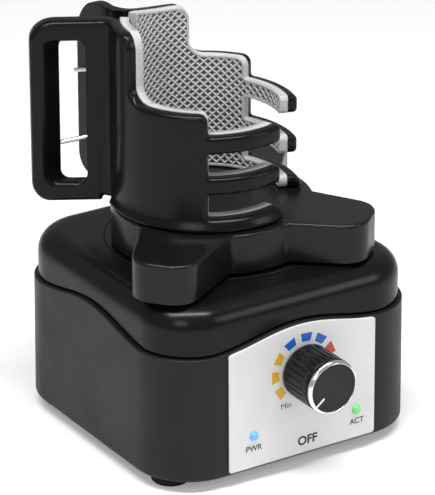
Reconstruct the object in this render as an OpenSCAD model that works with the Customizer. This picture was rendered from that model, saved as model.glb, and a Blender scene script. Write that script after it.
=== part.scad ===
/* [Base housing] */
// Width and depth of the square base at its foot
base_w = 130; // [126:1:140]
// Radius of the upright corners of the base
corner_r = 26; // [22:1:30]
// Height of the rubber feet
foot_h = 5; // [3:0.5:7]
// Level of the seam between housing and cover at the corners
seam_z = 61.3; // [58:0.1:64]
// Rise of the seam to its crest in the middle of each side
seam_rise = 6.2; // [3:0.1:8]
// Half length of the arch of the seam
seam_half = 44; // [40:1:46]
// Wall of the housing
housing_wall = 2.5; // [2:0.1:3]
// Thickness of the floor of the housing
floor_t = 2.5; // [2:0.1:4]
// Lean of the housing walls in degrees
draft = 0.52; // [0:0.02:1]
// Radius of the lower edge of the housing
bottom_fillet = 1.8; // [1:0.2:3]

/* [Top cover] */
// Level of the flat top of the cover
cover_top = 82.2; // [80:0.1:86]
// Distance from the housing face in to the cover face
cover_inset = 1.85; // [1.4:0.05:2.4]
// Radius of the upper edge of the cover
cover_fillet = 10; // [6:0.5:12]
// Wall of the cover
cover_wall = 2.6; // [2:0.1:3.2]
// Height of the dark gap between housing and cover
seam_gap = 0.6; // [0.3:0.1:1]
// Radius of the opening in the cover for the crank
crank_hole_r = 14; // [12:0.5:16]
// Depth of the lip that the cover puts inside the housing
lip_depth = 5; // [3:0.5:8]
// Clearance between the lip and the housing wall
lip_clearance = 0.4; // [0.2:0.1:0.6]

/* [Feet and screws] */
// Radius of a rubber foot
foot_r = 8.7; // [7:0.1:10]
// Distance of the feet from the middle, left and right
foot_x = 51.5; // [49:0.5:52]
// Distance of the feet from the middle, front and back
foot_y = 44.5; // [42:0.5:46]
// Distance of the cover screws from the middle, left and right
post_x = 38; // [36:0.5:39]
// Distance of the cover screws from the middle, front and back
post_y = 51; // [49:0.5:53]
// Radius of the cover screw posts
post_r = 4.5; // [4:0.1:5]
// Radius of the shank of the cover screws
cover_screw_r = 1.5; // [1.25:0.05:1.75]
// Radius of the shank of the foot screws
foot_screw_r = 1.5; // [1.25:0.05:1.75]

/* [Control panel] */
// Width of the panel plate
panel_w = 73.6; // [70:0.2:76]
// Middle of the panel, to the right of the middle of the base
panel_x = 1.0; // [-2:0.1:2]
// Lower edge of the panel
panel_z = 6.6; // [6:0.1:10]
// Thickness of the panel plate
panel_t = 1.0; // [0.6:0.1:1.4]
// Margin between the arched top of the panel and the seam
panel_margin = 1.2; // [0.8:0.1:2]
// Radius of the indicator lamps
led_r = 1.85; // [1.5:0.05:2.5]
// Power lamp, to the right of the middle
power_led_x = -23.5; // [-26:0.1:-22]
// Power lamp, height
power_led_z = 21.3; // [19:0.1:23]
// Active lamp, to the right of the middle
active_led_x = 29.4; // [27:0.1:31]
// Active lamp, height
active_led_z = 19.6; // [18:0.1:23]

/* [Speed knob] */
// Knob axis, to the right of the middle
knob_x = 2.0; // [0:0.1:4]
// Knob axis, height
knob_z = 45.6; // [44:0.1:47]
// Radius of the knob
knob_r = 12.1; // [11:0.1:13]
// Length of the knob
knob_len = 20.7; // [18:0.1:22]
// Gap between knob and panel
knob_gap = 0.8; // [0.5:0.1:1.5]
// Number of grooves round the knob
knob_flutes = 28; // [20:1:36]
// Radius of the potentiometer shaft
pot_shaft_r = 3; // [2.5:0.1:3.2]
// Radial clearance of the potentiometer shaft in its bushing
pot_fit = 0.05; // [0.02:0.01:0.1]
// Radius of the potentiometer bushing
bushing_r = 4.2; // [4:0.1:4.6]

/* [Drive] */
// Offset of the crank pin from the motor axis
throw = 1.9; // [1:0.1:2.5]
// Direction of the crank pin at rest, in degrees
throw_angle = 128; // [0:1:359]
// Radius of the motor can
motor_r = 18.5; // [16:0.5:20]
// Length of the motor can
motor_len = 42; // [36:0.5:43]
// Radius of the motor shaft
motor_shaft_r = 2.5; // [2:0.1:3]
// Radial running clearance of the shafts
run_fit = 0.04; // [0.02:0.01:0.08]
// Thickness of the steel motor mount
mount_t = 2.5; // [2:0.1:3]
// Radius of the crank pin in the bearing
crank_pin_r = 4; // [3.5:0.1:4.5]
// Outer radius of the head bearing
bearing_r = 11; // [10:0.1:12]
// Height of the head bearing
bearing_h = 7; // [6:0.1:8]
// Radius of the counterweight
weight_r = 20; // [16:0.5:22]

/* [Orbiting head] */
// Direction of the handles, seen from the middle of the head
head_angle = 133; // [0:1:359]
// Radius of the round turret
hub_r = 43.6; // [43:0.1:46]
// Level of the flat top of the turret
turret_top = 101.3; // [100:0.1:103]
// Shadow gap between cover and turret
turret_gap = 1.5; // [1:0.1:2]
// Wall of the turret
turret_wall = 3; // [2.5:0.1:3.5]
// Reach of the lobes at the sides
lobe_side = 76; // [72:0.5:77]
// Reach of the lobe under the mouth
lobe_mouth = 70.3; // [68:0.1:74]
// Width of a lobe where it leaves the turret
lobe_w = 36.8; // [34:0.2:38]
// Narrowing of a lobe in degrees on each side
lobe_taper = 10; // [8:0.5:11]
// Radius of the corners of a lobe
lobe_corner = 11; // [9:0.5:11.5]
// Radius of a rubber isolator
isolator_r = 6; // [5:0.1:6.5]
// Distance of the isolators in the lobes
isolator_d = 56; // [54:0.5:57]
// Distance of the isolator below the handles
isolator_in = 25; // [24.5:0.1:25.4]
// Gap between an isolator and its seat
seat_gap = 0.3; // [0.2:0.05:0.4]

/* [Jaws] */
// Outer radius of the jaws
jaw_r = 40; // [39:0.1:41]
// Middle of the jaws, from the head middle towards the handles
jaw_x = 3; // [2:0.1:4]
// Thickness of the jaw walls
jaw_wall = 4.2; // [3.6:0.1:4.6]
// Gap between turret and jaws
jaw_gap = 0.5; // [0.3:0.1:0.8]
// Top of the front jaw
front_top = 181.5; // [178:0.5:184]
// Top of the rear jaw beside the handle
rear_top = 180; // [178:0.5:183]
// Top of the rear jaw at its far corner
rear_far_top = 176.2; // [174:0.1:178]
// Top of the low wall of both jaws
wall_top = 151.5; // [150:0.5:154]
// Top of the highest finger
finger_top = 143.6; // [142:0.1:145]
// Height of the upper two fingers
finger_h = 7.7; // [6.5:0.1:9]
// Step from finger to finger
finger_pitch = 18.3; // [17:0.1:19]
// Angle where the front jaw begins
front_start = 13; // [12:0.5:15]
// Angle where the tall part of the front jaw ends
front_drop = 42.4; // [38:0.2:48]
// Angle where the tall part of the rear jaw ends
rear_drop = 60.2; // [55:0.2:64]
// Angle where the rear jaw begins
rear_start = 10; // [9:0.5:12]
// Angle where the low walls end
wall_end = 106; // [100:1:110]
// Angle of the front finger tips
front_tip = 157.3; // [150:0.1:158]
// Angle of the rear finger tips
rear_tip = 154.2; // [150:0.1:158]

/* [Grip pads] */
// Thickness of the rubber pads
pad_t = 3.7; // [3:0.1:4]
// How far the pads stand above the edges of the jaws
pad_proud = 0.9; // [0.5:0.1:1.2]

/* [Handles] */
// Thickness of the handle plates
plate_t = 6.6; // [6:0.1:7]
// Direction of the front handle, from the line of the handles
front_dir = 17; // [15:0.5:20]
// Reach of the front handle from the head middle
front_reach = 77; // [74:0.5:80]
// Direction of the rear handle, from the line of the handles
rear_dir = 39; // [36:0.5:42]
// Length of the rear handle
rear_len = 27.3; // [24:0.1:30]
// Level of the lower edge of the handles
plate_z = 99.8; // [99:0.1:101]
// Radius of the corners of the handles
plate_corner = 9; // [6:0.5:10]
// Slot of the front handle, near side from the head middle
slot_in = 54.6; // [53:0.1:56]
// Slot of the front handle, far side from the head middle
slot_out = 70.6; // [69:0.1:71.5]
// Lower end of the slot
slot_z0 = 108.6; // [107:0.1:111]
// Handle above the slot
slot_head = 9.4; // [8:0.1:12]
// Radius of the corners of the slot
slot_corner = 4; // [2:0.5:6]
// Slant of the slot through the handle in degrees
slot_slant = 44; // [35:1:45]

/* [Pivot and spring] */
// Pivot pin, from the head middle
pivot_x = 40; // [39.6:0.1:40.2]
// Radius of the pivot pin
pin_r = 2.2; // [2:0.05:2.3]
// Radius of the hinge knuckles
knuckle_r = 4.7; // [4.5:0.05:4.75]
// Radial clearance of the knuckles on the pin
pin_fit = 0.05; // [0.02:0.01:0.1]
// Diameter of the spring wire
wire_d = 2; // [1.8:0.05:2.1]
// Mean radius of the spring
coil_r = 3.7; // [3.6:0.05:3.8]
// Rise of the coil for each turn, in wire thicknesses
coil_rise = 1.33; // [1.25:0.01:1.5]
// Start of the coil as a share of the hinge height
coil_from = 0.359; // [0.35:0.001:0.365]
// End of the coil as a share of the hinge height
coil_to = 0.689; // [0.68:0.001:0.7]

/* [Inlet] */
// Power inlet, to the right of the middle
jack_x = 22; // [10:0.5:24]
// Power inlet, height
jack_z = 22; // [19:0.5:26]
// Radius of the bush of the inlet
jack_r = 4; // [3.6:0.1:4.4]

/* [Hidden] */
$fn = 64;
eps = 0.01;

corner_c = base_w / 2 - corner_r;
lean = tan(draft);
floor_top = foot_h + floor_t;
wall_y = base_w / 2 - lean * (knob_z - foot_h);
panel_face = wall_y + panel_t;
cover_r = corner_r - lean * (seam_z - foot_h) - cover_inset;
inner_r = corner_r - lean * (seam_z - foot_h) - housing_wall;
hx = throw * cos(throw_angle);
hy = throw * sin(throw_angle);
turret_z = cover_top + turret_gap;
turret_in = turret_top - turret_wall - 0.5;
jaw_z = turret_top + jaw_gap;
hinge_top = min(front_top, rear_top) - 1;
hinge_h = hinge_top - jaw_z;
coil_z0 = jaw_z + coil_from * hinge_h;
coil_z1 = jaw_z + coil_to * hinge_h;
coil_turns = floor((coil_z1 - coil_z0) / (coil_rise * wire_d) - 0.5);
slot_z1 = front_top - slot_head;
ring_fit = 0.05;
seat_r = 30;
seat_depth = 0.6;
jaw_in = jaw_r - jaw_wall;
pad_in = jaw_in - pad_t;
mount_z = floor_top + motor_len + 5;
post_mid = 40;
standoff = 26;
board_y = 12 - base_w / 2;
board_t = 1.6;
bearing_z = cover_top + 2.8;
retainer_t = 1.5;
iso_top = turret_z + 7.8;
lip_r = inner_r - lip_clearance;

function seam(t) = seam_z + seam_rise * (0.5 + 0.5 * cos(180 * min(1, abs(t) / seam_half)));
function arc(cx, cy, r, a0, a1, n) =
    [for (i = [0:n]) [cx + r * cos(a0 + (a1 - a0) * i / n), cy + r * sin(a0 + (a1 - a0) * i / n)]];
function shift(p, d) = [for (q = p) [q[0] + d, q[1]]];
function flip(p) = [for (i = [len(p) - 1:-1:0]) [-p[i][0], p[i][1]]];
function unit(v) = v / norm(v);

// A square block with round upright corners from the profile of its side.
module round_block(profile) {
    side = shift(profile, corner_c);
    for (i = [0:3])
        rotate([0, 0, 90 * i])
            translate([corner_c, corner_c, 0])
                rotate_extrude(angle = 90)
                    polygon(concat([[0, profile[0][1]]], profile, [[0, profile[len(profile) - 1][1]]]));
    for (a = [0, 90])
        rotate([0, 0, a])
            rotate([90, 0, 0])
                linear_extrude(2 * corner_c, center = true)
                    polygon(concat(side, flip(side)));
}

// The arched part of the seam as a plate across the whole base.
module seam_arch(lift) {
    n = 16;
    crest = [for (i = [0:n]) let (t = -seam_half + 2 * seam_half * i / n) [t, seam(t) + lift]];
    for (a = [0, 90])
        rotate([0, 0, a])
            rotate([90, 0, 0])
                linear_extrude(base_w + 4, center = true)
                    polygon(concat([[seam_half, seam_z - 2], [-seam_half, seam_z - 2]], crest));
}

function at_side(z) = corner_r - lean * (z - foot_h);
housing_top = seam_z + seam_rise + 1;
outer_side = concat(
    arc(at_side(foot_h + bottom_fillet) - bottom_fillet, foot_h + bottom_fillet, bottom_fillet, -90, 0, 5),
    [[at_side(housing_top), housing_top]]);
inner_side = [
    [at_side(floor_top) - housing_wall - bottom_fillet / 3, floor_top],
    [at_side(floor_top) - housing_wall, floor_top + bottom_fillet / 2],
    [inner_r, housing_top + 1]];

module posts() {
    for (x = [-post_x, post_x], y = [-post_y, post_y])
        translate([x, y, 0]) children();
}

module foot_places() {
    for (x = [-foot_x, foot_x], y = [-foot_y, foot_y])
        translate([x, y, 0]) children();
}

module front_axis(x, z) {
    translate([x, 0, z]) rotate([90, 0, 0]) children();
}

// Tub of the base: four leaning walls, a floor and the posts that stand on it.
module lower_housing() {
    color("#1b1c1f")
    difference() {
        union() {
            difference() {
                round_block(outer_side);
                round_block(inner_side);
                difference() {
                    translate([-base_w, -base_w, seam_z]) cube([2 * base_w, 2 * base_w, 30]);
                    seam_arch(0);
                }
            }
            posts() translate([0, 0, floor_top - eps]) cylinder(r = post_r, h = post_mid - floor_top + eps);
            foot_places() translate([0, 0, floor_top - eps]) cylinder(r = 4, h = 6);
            for (x = [-standoff, standoff], y = [-standoff, standoff])
                translate([x, y, floor_top - eps])
                    cylinder(r = 4, h = mount_z - floor_top + eps);
            for (x = board_holes)
                front_axis(x, board_hole_z)
                    translate([0, 0, -board_y]) cylinder(r = 3, h = wall_y + board_y - housing_wall + 0.6);
        }
        posts() {
            translate([0, 0, foot_h - 1]) cylinder(r = cover_screw_r + 0.2, h = 60);
            translate([0, 0, foot_h - 1]) cylinder(r = 3.2, h = 4);
        }
        foot_places() translate([0, 0, foot_h - 1]) cylinder(r = foot_screw_r, h = 9.5);
        for (x = [-standoff, standoff], y = [-standoff, standoff])
            translate([x, y, mount_z - 10]) cylinder(r = 1.5, h = 11);
        front_axis(knob_x, knob_z) translate([0, 0, 55]) cylinder(r = bushing_r + 0.1, h = 20);
        front_axis(power_led_x, power_led_z) translate([0, 0, 55]) cylinder(r = led_r + 0.1, h = 20);
        front_axis(active_led_x, active_led_z) translate([0, 0, 55]) cylinder(r = led_r + 0.1, h = 20);
        for (x = board_holes)
            front_axis(x, board_hole_z) translate([0, 0, -board_y - 1]) cylinder(r = 1.25, h = 8);
        translate([jack_x, 0, jack_z]) rotate([-90, 0, 0])
            translate([0, 0, 55]) cylinder(r = jack_r + 0.1, h = 20);
    }
}

module foot(x, y) {
    color("#141414")
    translate([x, y, 0])
    difference() {
        union() {
            cylinder(r1 = foot_r - 1, r2 = foot_r, h = 1);
            translate([0, 0, 1]) cylinder(r = foot_r, h = foot_h - 1);
        }
        translate([0, 0, -1]) cylinder(r = foot_screw_r + 0.2, h = foot_h + 2);
        translate([0, 0, -1]) cylinder(r = 3.4, h = foot_h - 1);
    }
}

module foot_screws() {
    color("silver")
    foot_places() {
        translate([0, 0, foot_h - 2 - 1.6]) cylinder(r = 2.9, h = 1.6);
        translate([0, 0, foot_h - 2 - eps]) cylinder(r = foot_screw_r, h = 10);
    }
}

cover_side = concat([[cover_r, seam_z + seam_gap]],
    arc(cover_r - cover_fillet, cover_top - cover_fillet, cover_fillet, 0, 90, 8));
cover_inner = concat([[cover_r - cover_wall, seam_z - 1]],
    arc(cover_r - cover_fillet, cover_top - cover_fillet, cover_fillet - cover_wall, 0, 90, 6));

// Lid of the base with its arched lower edge, an inner lip and screw posts.
module top_cover() {
    color("#202124")
    difference() {
        union() {
            difference() {
                round_block(cover_side);
                round_block(cover_inner);
                seam_arch(seam_gap);
            }
            difference() {
                round_block([[lip_r, seam_z - lip_depth], [lip_r, seam_z + seam_rise + 4]]);
                round_block([[lip_r - 2, seam_z - lip_depth - 1], [lip_r - 2, seam_z + seam_rise + 5]]);
            }
            posts() translate([0, 0, post_mid])
                cylinder(r = post_r, h = cover_top - cover_wall - post_mid + eps);
            translate([0, 0, cover_top - cover_wall - 2]) cylinder(r = crank_hole_r + 2, h = 3);
            iso_places() translate([0, 0, cover_top - cover_wall - 4]) cylinder(r = 4, h = 5);
        }
        translate([0, 0, cover_top - 10]) cylinder(r = crank_hole_r, h = 20);
        posts() translate([0, 0, post_mid - 1]) cylinder(r = cover_screw_r, h = 16);
        iso_places() translate([0, 0, cover_top - 8]) cylinder(r = 2, h = 10);
    }
}

module cover_screws() {
    color("silver")
    posts() {
        translate([0, 0, foot_h + 0.4]) cylinder(r = 2.9, h = 2.6);
        translate([0, 0, foot_h + 3 - eps]) cylinder(r = cover_screw_r, h = post_mid + 12 - foot_h - 3);
    }
}

function iso_angle(i) = [90, 180, 270, 0][i];
function iso_dist(i) = i == 3 ? isolator_in : isolator_d;
function iso_at(i) = [iso_dist(i) * cos(head_angle + iso_angle(i)),
    iso_dist(i) * sin(head_angle + iso_angle(i)), 0];

module iso_places() {
    for (i = [0:3]) translate(iso_at(i)) children();
}

module isolator(i) {
    color("#111111")
    translate(iso_at(i))
    translate([0, 0, cover_top])
    difference() {
        union() {
            cylinder(r = isolator_r, h = iso_top - cover_top - seat_gap);
            translate([0, 0, 3]) rotate_extrude() translate([isolator_r - 0.6, 0, 0]) circle(r = 1);
        }
        translate([0, 0, -1]) cylinder(r = 2, h = 5);
    }
}

module isolator_studs() {
    color("silver")
    iso_places() translate([0, 0, cover_top - 8]) cylinder(r = 2, h = 12);
}

// Plate that lies flat on the leaning front wall, with its arched top.
module panel_plate(t) {
    n = 16;
    w = panel_w / 2;
    crest = [for (i = [0:n]) let (x = panel_x + w - 2 * w * i / n) [x, seam(x) - panel_margin - foot_h]];
    translate([0, -base_w / 2, foot_h]) rotate([90 - draft, 0, 0])
        linear_extrude(t)
            polygon(concat([[panel_x - w, panel_z - foot_h],
                [panel_x + w, panel_z - foot_h]], crest));
}

module control_panel() {
    color("#d9d8d8")
    difference() {
        intersection() {
            panel_plate(panel_t);
            translate([-60, -80, panel_low]) cube([120, 40, 90]);
        }
        front_axis(knob_x, knob_z) translate([0, 0, 55]) cylinder(r = bushing_r + 0.1, h = 20);
        front_axis(power_led_x, power_led_z) translate([0, 0, 55]) cylinder(r = led_r + 0.1, h = 20);
        front_axis(active_led_x, active_led_z) translate([0, 0, 55]) cylinder(r = led_r + 0.1, h = 20);
    }
}
panel_low = max(panel_z, foot_h + bottom_fillet);

module led(x, z, c) {
    color(c)
    front_axis(x, z) {
        face = base_w / 2 - lean * (z - foot_h) + panel_t;
        translate([0, 0, -board_y + 4]) cylinder(r = led_r, h = face + board_y - 4);
        translate([0, 0, -board_y + 3]) cylinder(r = led_r + 0.35, h = 1.2);
        translate([0, 0, face]) rotate_extrude(angle = 360)
            intersection() {
                circle(r = led_r);
                square(led_r);
            }
        for (s = [-0.9, 0.9]) translate([s, 0, -board_y - board_t - 1]) cylinder(r = 0.3, h = board_t + 4.5);
    }
}

board_holes = [-27, 28.5];
board_hole_z = 48;

module control_board() {
    color("#1d5b33")
    difference() {
        translate([-33, board_y, 13]) cube([66, board_t, 42]);
        for (x = board_holes)
            front_axis(x, board_hole_z) translate([0, 0, 40]) cylinder(r = 1.6, h = 20);
        for (s = [-2.5, 2.5])
            front_axis(knob_x + s, knob_z - 12) translate([0, 0, 40]) cylinder(r = 0.6, h = 20);
        for (p = [[power_led_x, power_led_z], [active_led_x, active_led_z]], s = [-0.9, 0.9])
            front_axis(p[0] + s, p[1]) translate([0, 0, 40]) cylinder(r = 0.3, h = 20);
    }
}

module board_screws() {
    color("silver")
    for (x = board_holes)
        front_axis(x, board_hole_z) {
            translate([0, 0, -board_y - board_t - 1.8]) cylinder(r = 2.6, h = 1.8);
            translate([0, 0, -board_y - board_t - eps]) cylinder(r = 1.25, h = board_t + 6);
        }
}

back_y = board_y + board_t;

module board_chip() {
    color("#222222") translate([-12, back_y, 22]) cube([10, 2.2, 7]);
}

module board_capacitor() {
    color("#2b3a67") translate([16, back_y, 30]) rotate([-90, 0, 0]) cylinder(r = 4, h = 12);
}

module board_mosfet() {
    color("#2a2a2a") translate([-27, back_y, 24]) cube([10, 4.5, 15]);
}

module board_terminal() {
    color("#2f6f3f")
    difference() {
        translate([2, back_y, 15]) cube([20, 8, 8]);
        for (i = [0:3])
            translate([4.5 + 5 * i, back_y + 4, 19]) rotate([-90, 0, 0]) cylinder(r = 1.2, h = 5);
    }
}

pot_front = wall_y - housing_wall;

module potentiometer() {
    color("#9a9a9a")
    front_axis(knob_x, knob_z)
    difference() {
        union() {
            translate([0, 0, -board_y]) cylinder(r = 8.2, h = pot_front + board_y - 0.2);
            translate([0, 0, pot_front - 0.2 - eps])
                cylinder(r = bushing_r, h = panel_face - pot_front + 3);
            for (s = [-2.5, 2.5])
                translate([s, -12, -board_y - board_t]) cylinder(r = 0.6, h = board_t + 1.4);
            translate([-4, -13.5, -board_y + 1]) cube([8, 8, 1.2]);
        }
        translate([0, 0, -board_y + 2]) cylinder(r = pot_shaft_r + pot_fit, h = 30);
    }
}

module pot_nut() {
    color("silver")
    front_axis(knob_x, knob_z)
    difference() {
        translate([0, 0, panel_face + 0.05]) cylinder(r = 6.3, h = 2, $fn = 6);
        translate([0, 0, panel_face - 1]) cylinder(r = bushing_r, h = 5);
    }
}

knob_back = panel_face + knob_gap;
knob_front = knob_back + knob_len;
ring_w = 2.2;

module speed_knob() {
    color("#17181a")
    front_axis(knob_x, knob_z)
    difference() {
        union() {
            translate([0, 0, knob_back]) cylinder(r = knob_r, h = knob_len - ring_w - 1.2);
            translate([0, 0, knob_front - ring_w - 1.2 - eps]) cylinder(r = knob_r - 1, h = 1.2 + eps);
            translate([0, 0, knob_front - ring_w - eps]) cylinder(r = knob_r - 2, h = ring_w - 0.8 + eps);
        }
        for (i = [0:knob_flutes - 1])
            rotate([0, 0, 360 * i / knob_flutes])
                translate([knob_r + 0.25, 0, knob_back + 1.2]) cylinder(r = 0.75, h = knob_len - 6.6, $fn = 24);
        translate([0, 0, knob_back - 1]) cylinder(r = 8, h = 3.6);
        translate([0, 0, knob_back]) cylinder(r = pot_shaft_r, h = 14);
        translate([0, 0, knob_back + 6]) rotate([-90, 0, 0]) cylinder(r = 1.5, h = 20);
    }
}

module knob_ring() {
    color("#d0d0d0")
    front_axis(knob_x, knob_z)
        rotate_extrude()
            polygon([[knob_r - 2 + ring_fit, knob_front - ring_w], [knob_r, knob_front - ring_w],
                [knob_r, knob_front - 0.9], [knob_r - 1.1, knob_front], [knob_r - 2 + ring_fit, knob_front - 0.2]]);
}

module knob_face() {
    color("#26272a")
    front_axis(knob_x, knob_z)
    difference() {
        translate([0, 0, knob_front - 0.8]) cylinder(r = knob_r - 2, h = 0.6);
        pointer_bar();
    }
}

pointer_angle = 222;
module pointer_bar() {
    rotate([0, 0, pointer_angle])
        translate([5.9, -0.6, knob_front - 0.8]) cube([knob_r - 8.2, 1.2, 2]);
}

module knob_pointer() {
    color("white")
    front_axis(knob_x, knob_z)
    intersection() {
        pointer_bar();
        translate([0, 0, knob_front - 0.8]) cylinder(r = knob_r, h = 0.65);
    }
}

module pot_shaft() {
    color("silver")
    front_axis(knob_x, knob_z)
        translate([0, 0, -board_y + 2]) cylinder(r = pot_shaft_r, h = knob_back + 14 + board_y - 2);
}

module knob_screw() {
    color("silver")
    front_axis(knob_x, knob_z)
        translate([0, 0, knob_back + 6]) rotate([-90, 0, 0])
            translate([0, 0, pot_shaft_r + 0.02]) cylinder(r = 1.5, h = 6);
}

module motor() {
    color("#8f9398")
    difference() {
        union() {
            translate([0, 0, mount_z - motor_len]) cylinder(r = motor_r, h = motor_len);
            translate([0, 0, mount_z - eps]) cylinder(r = 6, h = mount_t + eps);
            for (s = [-8, 8]) translate([s - 1, 4, mount_z - motor_len - 4]) cube([2, 0.8, 4.1]);
            translate([0, 0, mount_z - motor_len - 2]) cylinder(r = 5, h = 2.1);
        }
        translate([0, 0, mount_z - 12]) cylinder(r = motor_shaft_r + run_fit, h = 20);
        for (s = [-12.5, 12.5]) translate([s, 0, mount_z - 5]) cylinder(r = 1.5, h = 6);
    }
}

module motor_mount() {
    color("#b4b7ba")
    difference() {
        translate([-standoff - 6, -standoff - 6, mount_z])
            cube([2 * standoff + 12, 2 * standoff + 12, mount_t]);
        translate([0, 0, mount_z - 1]) cylinder(r = 6.05, h = mount_t + 2);
        for (s = [-12.5, 12.5]) translate([s, 0, mount_z - 1]) cylinder(r = 1.7, h = mount_t + 2);
        for (x = [-standoff, standoff], y = [-standoff, standoff])
            translate([x, y, mount_z - 1]) cylinder(r = 1.7, h = mount_t + 2);
    }
}

module motor_screws() {
    color("silver")
    for (s = [-12.5, 12.5]) translate([s, 0, mount_z]) {
        translate([0, 0, mount_t]) cylinder(r = 2.8, h = 1.8);
        translate([0, 0, -4]) cylinder(r = 1.5, h = 4 + mount_t + eps);
    }
}

module mount_screws() {
    color("silver")
    for (x = [-standoff, standoff], y = [-standoff, standoff]) translate([x, y, mount_z]) {
        translate([0, 0, mount_t]) cylinder(r = 2.8, h = 1.8);
        translate([0, 0, -8]) cylinder(r = 1.5, h = 8 + mount_t + eps);
    }
}

wall_back = base_w / 2 - lean * (jack_z - foot_h);

module dc_jack() {
    color("#101010")
    translate([jack_x, 0, jack_z]) rotate([-90, 0, 0])
    difference() {
        union() {
            translate([0, 0, wall_back + 0.3]) cylinder(r = jack_r + 1.5, h = 1.4);
            translate([0, 0, wall_back - 10]) cylinder(r = jack_r, h = 10.4);
            translate([-4.5, -4.5, wall_back - 16]) cube([9, 9, 6.1]);
        }
        translate([0, 0, wall_back - 9]) difference() {
            cylinder(r = 2.8, h = 12);
            translate([0, 0, -1]) cylinder(r = 1, h = 9.6);
        }
    }
}

module jack_nut() {
    color("silver")
    translate([jack_x, 0, jack_z]) rotate([-90, 0, 0])
    difference() {
        translate([0, 0, wall_back - housing_wall - 2.4]) cylinder(r = 6.6, h = 2, $fn = 6);
        translate([0, 0, wall_back - housing_wall - 4]) cylinder(r = jack_r, h = 6);
    }
}

// Tube of n sides along a path; side gives the direction kept square to it.
function tangent(p, i) = unit(p[min(i + 1, len(p) - 1)] - p[max(i - 1, 0)]);
function ring(p, i, r, n, ref) =
    let (t = tangent(p, i), s = unit(cross(ref, t)), u = cross(t, s))
    [for (k = [0:n - 1]) p[i] + r * (cos(360 * k / n) * s + sin(360 * k / n) * u)];
module tube(p, r, n, ref) {
    m = len(p);
    pts = [for (i = [0:m - 1]) each ring(p, i, r, n, ref)];
    sides = [for (i = [0:m - 2], k = [0:n - 1]) each
        [[i * n + k, (i + 1) * n + k, i * n + (k + 1) % n],
        [(i + 1) * n + k, (i + 1) * n + (k + 1) % n, i * n + (k + 1) % n]]];
    ends = [for (k = [1:n - 2]) each
        [[0, k, k + 1], [(m - 1) * n, (m - 1) * n + k + 1, (m - 1) * n + k]]];
    polyhedron(pts, concat(sides, ends));
}
// A bend of the path rounded off with steps of a curve through its corners.
function bend(a, b, c, n) = [for (i = [0:n]) let (t = i / n)
    (1 - t) * (1 - t) * a + 2 * t * (1 - t) * b + t * t * c];
function smooth(p, n) = concat([p[0]], [for (i = [1:len(p) - 2]) each
    bend((p[i - 1] + p[i]) / 2, p[i], (p[i] + p[i + 1]) / 2, n)], [p[len(p) - 1]]);

term_y = back_y + 8.2;

module motor_leads() {
    color("#b03028") tube(smooth([[4.5, term_y, 19], [4.5, -36, 19], [-2, -30, 12], [-9, -16, 10],
        [-9, -4, 10], [-8.6, 3.2, 10.3]], 4), 0.9, 8, [0, 0, 1]);
    color("#222222") tube(smooth([[9.5, term_y, 19], [9.5, -36, 19], [12, -30, 12], [9, -16, 10],
        [9, -4, 10], [8.6, 3.2, 10.3]], 4), 0.9, 8, [0, 0, 1]);
}

module jack_leads() {
    for (s = [0, 1])
        color(s == 0 ? "#b03028" : "#222222")
        tube(smooth([[14.5 + 5 * s, term_y, 19], [16 + 5 * s, -36, 18], [31.5 + 4 * s, -31, 13],
            [40 + 3 * s, -10, 12], [41 + 3 * s, 16, 13], [jack_x + 8 + 3 * s, 36, 16],
            [jack_x - 1.5 + 3 * s, 40, jack_z], [jack_x - 1.5 + 3 * s, wall_back - 16.2, jack_z]], 4), 0.9, 8, [0, 0, 1]);
}

shaft_top = mount_z + 20;
crank_z = mount_z + mount_t + 3;
crank_top = shaft_top + 1;

module motor_shaft() {
    color("silver")
    translate([0, 0, mount_z - 12]) cylinder(r = motor_shaft_r, h = shaft_top - mount_z + 12);
}

module crank_hub() {
    color("#a8abae")
    difference() {
        union() {
            translate([0, 0, crank_z]) cylinder(r = 8, h = crank_top + 1.5 - crank_z);
            translate([hx, hy, crank_top]) cylinder(r = 5.5, h = bearing_z - seat_gap - crank_top);
            translate([hx, hy, bearing_z - 2]) cylinder(r = crank_pin_r, h = bearing_h + 3.8);
        }
        translate([0, 0, crank_z - 1]) cylinder(r = motor_shaft_r, h = shaft_top - crank_z + 1);
        translate([0, 0, crank_z + 10]) rotate([0, 0, throw_angle]) rotate([0, 90, 0])
            cylinder(r = 1.5, h = 20);
    }
}

module counterweight() {
    color("#7d7f82")
    difference() {
        translate([0, 0, crank_z + 1]) cylinder(r = weight_r, h = 6);
        translate([0, 0, crank_z]) cylinder(r = 8, h = 8);
        rotate([0, 0, throw_angle]) translate([-2, -40, crank_z]) cube([80, 80, 8]);
    }
}

module crank_screw() {
    color("silver")
    translate([0, 0, crank_z + 10]) rotate([0, 0, throw_angle]) rotate([0, 90, 0])
        translate([0, 0, motor_shaft_r + 0.02]) cylinder(r = 1.5, h = 4.6);
}

module crank_clip() {
    color("silver")
    translate([hx, hy, bearing_z + bearing_h + 0.2])
    difference() {
        cylinder(r = 5.2, h = 0.8);
        translate([0, 0, -1]) cylinder(r = crank_pin_r, h = 3);
    }
}

// ---- the head: its own frame has the handles along +X ----
module in_head() {
    translate([hx, hy, 0]) rotate([0, 0, head_angle]) children();
}

function lobe_half(x, inset) = lobe_w / 2 - inset - tan(lobe_taper) * (x - hub_r);
module lobe(reach, z0, h, inset) {
    rc = lobe_corner - inset;
    xc = reach - lobe_corner;
    yc = lobe_w / 2 - tan(lobe_taper) * (xc - hub_r) - lobe_corner / cos(lobe_taper);
    tx = xc + rc * sin(lobe_taper);
    ty = yc + rc * cos(lobe_taper);
    x0 = 20;
    y0 = ty + tan(lobe_taper) * (tx - x0);
    translate([0, 0, z0]) linear_extrude(h)
        polygon([[x0, -y0], [tx, -ty], [xc + rc, -yc], [xc + rc, yc], [tx, ty], [x0, y0]]);
    for (s = [-1, 1])
        translate([xc, s * yc, z0]) cylinder(r = rc, h = h);
}

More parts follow.
